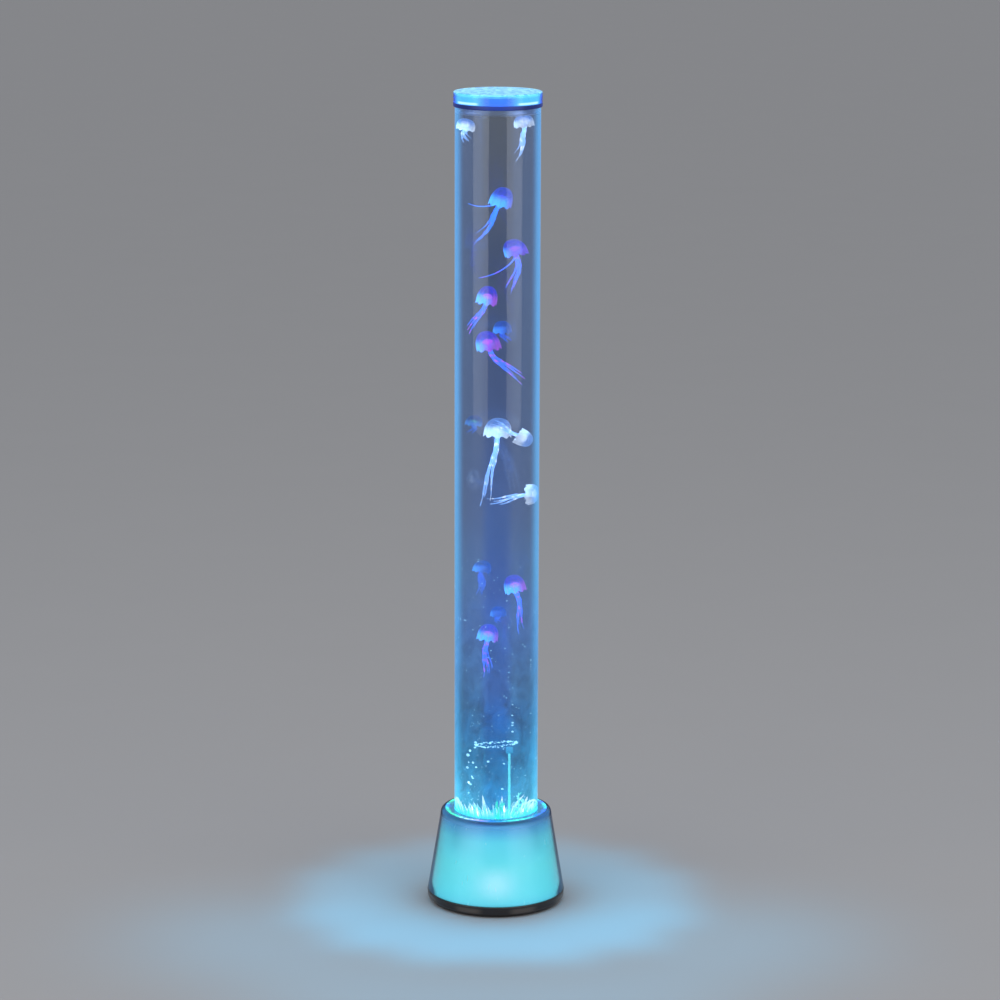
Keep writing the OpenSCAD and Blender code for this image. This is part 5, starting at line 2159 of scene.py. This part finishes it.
SEAL = SealBand("seal_band")
BED = Blade("bed_lit", dye("0f7f94"), dye("25b8c8"), dye("4fe0ea"), dye("27b07f"), 99 * MM, 104 * MM)
LEAF = Blade(
    "leaf_lit", dye("18a08a"), dye("35dcc0"), dye("b8fff0"), dye("52e0a0"), 102 * MM, 140 * MM, 2.2,
)
RIM_COLOURS = tuple(dye(c) for c in (
    "3dff9c", "2f8cff", "1a3cff", "2bffb8", "35ff8a", "2a58ff", "2fe8a0", "2ae86a", "3af070", "b8fff0",
    "d070ff", "1c30f0", "1c7a8c", "3cf07c", "4ce0a0", "2450e8", "1c2cc8", "2458e8", "2affd8", "3444ff",
    "3dff9c", "2f8cff", "8a48ff", "2c55ff",
))
LENS = LitLens("lens_lit", RIM_COLOURS)

FINISHES: dict[str, Finish] = {
    "black_plastic": SatinRing("ring_satin"),
    "rubber_black": Moulded("foot_rubber", dye("1b1b1d"), 0.75, 0.12, 1100.0, 0.05 * MM),
    "screw_steel": Metal("screw_steel", dye("b4b8be"), 0.28),
    "clear_blue": SHELL,
    "frosted": FROST,
    "clear": Clear("part_clear", dye("dceefc"), dye("9ccbe8"), 0.5, 0.9),
    "white_plastic": Moulded("part_white", dye("dfe5e8"), 0.42),
    "silicone_clear": Clear("hose_silicone", dye("d8e6ea"), dye("b4c8d0"), 0.4, 0.9, 1.41, 0.25),
    "silicone_navy": SEAL,
    "board_white": Board("board_white", dye("dfe6e4"), dye("f2f6f4"), dye("b8b4a4")),
    "board_blue": Board("board_blue", dye("173f8c"), dye("2b62b8"), dye("c9c4b4")),
    "board_green": Board("board_green"),
    "light_white": LightDots("chips_white", (dye("d8fbff"), dye("bff4ff")), 2.0, 18),
    "light_colour": LightDots("chips_colour", RIM_COLOURS, 0.35, 24),
    "dark_parts": Moulded("chip_black", dye("222326"), 0.4, 0.1, 2000.0, 0.02 * MM),
    "wire_red": Moulded("wire_red", dye("b4222a"), 0.38, 0.08, 1400.0, 0.01 * MM),
    "copper": Wound("coil_copper"),
    "iron": Metal("core_iron", dye("6c6f74"), 0.45),
    "magnet": Metal("magnet_nickel", dye("a8a69c"), 0.22),
    "air_stone": LitRiser("stone_lit", dye("4cb8d0"), dye("7cdcf4"), 188 * MM, 196 * MM, 1200.0, 0.7),
    "grass": BED,
    "leaves": LEAF,
    "crystal": CrystalGlow("crystal_lit"),
    "cap_clear": CAP,
}


def dress_nodes(frame: Mapping[str, object]) -> None:
    """Gives each CAD node the finish of its material slot, where the slot has one. Finer pieces stand for
    some nodes later.
    """
    slots = {part["node"]: part["material_slot"] for part in frame["record"]["subparts"]}
    for name, node in frame["nodes"].items():
        finish = FINISHES.get(slots[name])
        if finish is None:
            continue
        node.data.materials.clear()
        node.data.materials.append(finish.material())
        log.info("%s: CAD node in %s", name, finish.name)


# ---- Studio ----


@dataclass
class Studio:
    """The camera at the photograph's angle, a plain pale floor and soft light."""

    eye: Point = (0.0, -4.2755, 1.4060)
    down: float = 12.069
    aside: float = 0.05
    roll: float = 0.171
    focal: float = 3697.18
    frame_px: float = 1000.0
    sensor: float = 36.0
    floor_colour: Colour = dye("a2a2a4")
    world_level: float = 0.7
    box_power: float = 29.0
    top_power: float = 12.0
    box_place: Point = (2.2, -2.1, 1.3)
    box_size: Point = (2.6, 3.0)
    top_place: Point = (0.2, -0.4, 3.4)
    top_size: Point = (2.0, 2.0)
    aim: Point = (0.0, 0.0, 0.6)
    pool_lamps: int = 12
    pool_size: Point = (0.13, 0.13)
    pool_r: float = 0.175
    pool_z: float = 0.1
    pool_spread: float = 70.0
    pool_power: float = 0.057
    far_places: tuple[Point, ...] = (
        (-0.28, -0.16), (-0.14, -0.37), (0.0, -0.38), (0.14, -0.37), (0.28, -0.16),
    )
    far_size: Point = (0.24, 0.24)
    far_z: float = 0.22
    far_spread: float = 96.0
    far_share: float = 1.8
    pool_tone: Colour = (0.0, 0.57, 1.0, 1.0)

    def camera(self) -> None:
        """The camera, without shift."""
        t, a, r = math.radians(self.down), math.radians(self.aside), math.radians(self.roll)
        ahead = Vector((math.sin(a) * math.cos(t), math.cos(a) * math.cos(t), -math.sin(t)))
        right = Vector((math.cos(a), -math.sin(a), 0.0))
        up = Vector((math.sin(a) * math.sin(t), math.cos(a) * math.sin(t), math.cos(t)))
        x_axis = right * math.cos(r) + up * math.sin(r)
        y_axis = up * math.cos(r) - right * math.sin(r)
        data = bpy.data.cameras.new("camera")
        data.sensor_width = self.sensor
        data.lens = self.focal / self.frame_px * self.sensor
        data.clip_start, data.clip_end = 0.1, 200.0
        made = bpy.data.objects.new("camera", data)
        matrix = Matrix((x_axis, y_axis, -ahead)).transposed().to_4x4()
        matrix.translation = Vector(self.eye)
        made.matrix_world = matrix
        bpy.context.scene.collection.objects.link(made)
        bpy.context.scene.camera = made

    def floor(self) -> None:
        """A wide plain floor."""
        graph = Paint("floor_paper")
        grain = graph.noise(6.0, 3.0)
        colour = graph.mix(grain, shade(self.floor_colour, 0.99), shade(self.floor_colour, 1.01))
        graph.finish(graph.coat({"Base Color": colour, "Roughness": 0.9, "Specular IOR Level": 0.2}))
        mesh = bpy.data.meshes.new("floor")
        mesh.from_pydata([(-60, -60, 0), (60, -60, 0), (60, 60, 0), (-60, 60, 0)], [], [(0, 1, 2, 3)])
        mesh.materials.append(graph.material)
        made = bpy.data.objects.new("floor", mesh)
        bpy.context.scene.collection.objects.link(made)

    def world(self) -> None:
        """An even pale surround, which camera, mirrors and clear pieces see in the floor's own tone."""
        world = bpy.data.worlds.new("surround")
        bpy.context.scene.world = world
        world.use_nodes = True
        graph = Graph(world.node_tree)
        graph.tree.nodes.clear()
        path = graph.node("ShaderNodeLightPath")
        seen = Num(graph, path.outputs["Is Camera Ray"]) + Num(graph, path.outputs["Is Glossy Ray"])
        seen = (seen + Num(graph, path.outputs["Is Transmission Ray"])).math("MINIMUM", 1.0)
        light = graph.node("ShaderNodeBackground", {}, {0: dye("f4f6fa"), 1: self.world_level}).outputs[0]
        back = graph.node("ShaderNodeBackground", {}, {0: self.floor_colour, 1: 1.0}).outputs[0]
        mixed = graph.node("ShaderNodeMixShader", {}, {0: seen, 1: light, 2: back}).outputs[0]
        graph.node("ShaderNodeOutputWorld", {}, {0: mixed})

    def lamp(
        self, name: str, place: Point, size: Point, power: float, tone: Colour, spread: float | None = None
    ) -> None:
        """One rectangular soft light. It faces the lamp's middle, or straight down where a spread is given.

        Args:
            name: Its name.
            place: Where it goes.
            size: Width and height.
            power: Its strength in watts.
            tone: Its colour.
            spread: Its spread in degrees, if it stands over the floor; mirrors don't show it then.
        """
        data = bpy.data.lights.new(name, "AREA")
        data.shape = "RECTANGLE"
        data.size, data.size_y = size
        data.energy = power
        data.color = tone[:3]
        made = bpy.data.objects.new(name, data)
        made.location = place
        mirrored = spread is None
        if mirrored:
            aim = Vector(self.aim) - Vector(place)
            made.rotation_mode = "QUATERNION"
            made.rotation_quaternion = aim.to_track_quat("-Z", "Y")
        else:
            data.spread = math.radians(spread)
        made.visible_camera = False
        made.visible_glossy = made.visible_transmission = mirrored
        bpy.context.scene.collection.objects.link(made)

    def lamps(self) -> None:
        """Two wide soft boxes in front, one soft light above and the base's own light on the floor."""
        plain = (1.0, 1.0, 1.0, 1.0)
        aside, ahead, up = self.box_place
        self.lamp("soft_left", (-aside, ahead, up), self.box_size, self.box_power, plain)
        self.lamp("soft_right", (aside, ahead, up), self.box_size, self.box_power, plain)
        self.lamp("soft_top", self.top_place, self.top_size, self.top_power, plain)
        for i in range(self.pool_lamps):
            turn = 2 * math.pi * (i + 0.5) / self.pool_lamps
            place = (self.pool_r * math.cos(turn), self.pool_r * math.sin(turn), self.pool_z)
            power = self.pool_power * (0.75 - 0.35 * math.sin(turn))
            self.lamp(f"floor_glow_{i}", place, self.pool_size, power, self.pool_tone, self.pool_spread)
        power = self.pool_power * self.far_share
        for i, (x, y) in enumerate(self.far_places):
            place = (x, y, self.far_z)
            self.lamp(f"floor_glow_far_{i}", place, self.far_size, power, self.pool_tone, self.far_spread)

    def build(self) -> None:
        """Sets the stage."""
        bpy.context.scene.view_settings.view_transform = "Standard"
        self.camera()
        self.floor()
        self.world()
        self.lamps()


def main() -> None:
    """Builds the lamp's looks in order."""
    logging.basicConfig(level=logging.INFO, format="%(name)s: %(message)s")
    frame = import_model()
    Studio().build()
    dress_nodes(frame)
    LightBase().build()
    AirPump().build()
    WaterTube().build()
    LiftOffCap().build()
    AirStream().build()
    WaterGarden().build()
    for number, row in enumerate(JELLIES, start=1):
        across, behind, up, width, lean, length, dx, dy, sx, sz, mood = row
        Jellyfish(
            number=number, across=across, behind=behind, up=up, width=width, lean=lean, arm_length=length,
            drift=(dx, dy), streamer=(sx, sz), mood=mood,
        ).build()


if __name__ == "__main__":
    main()
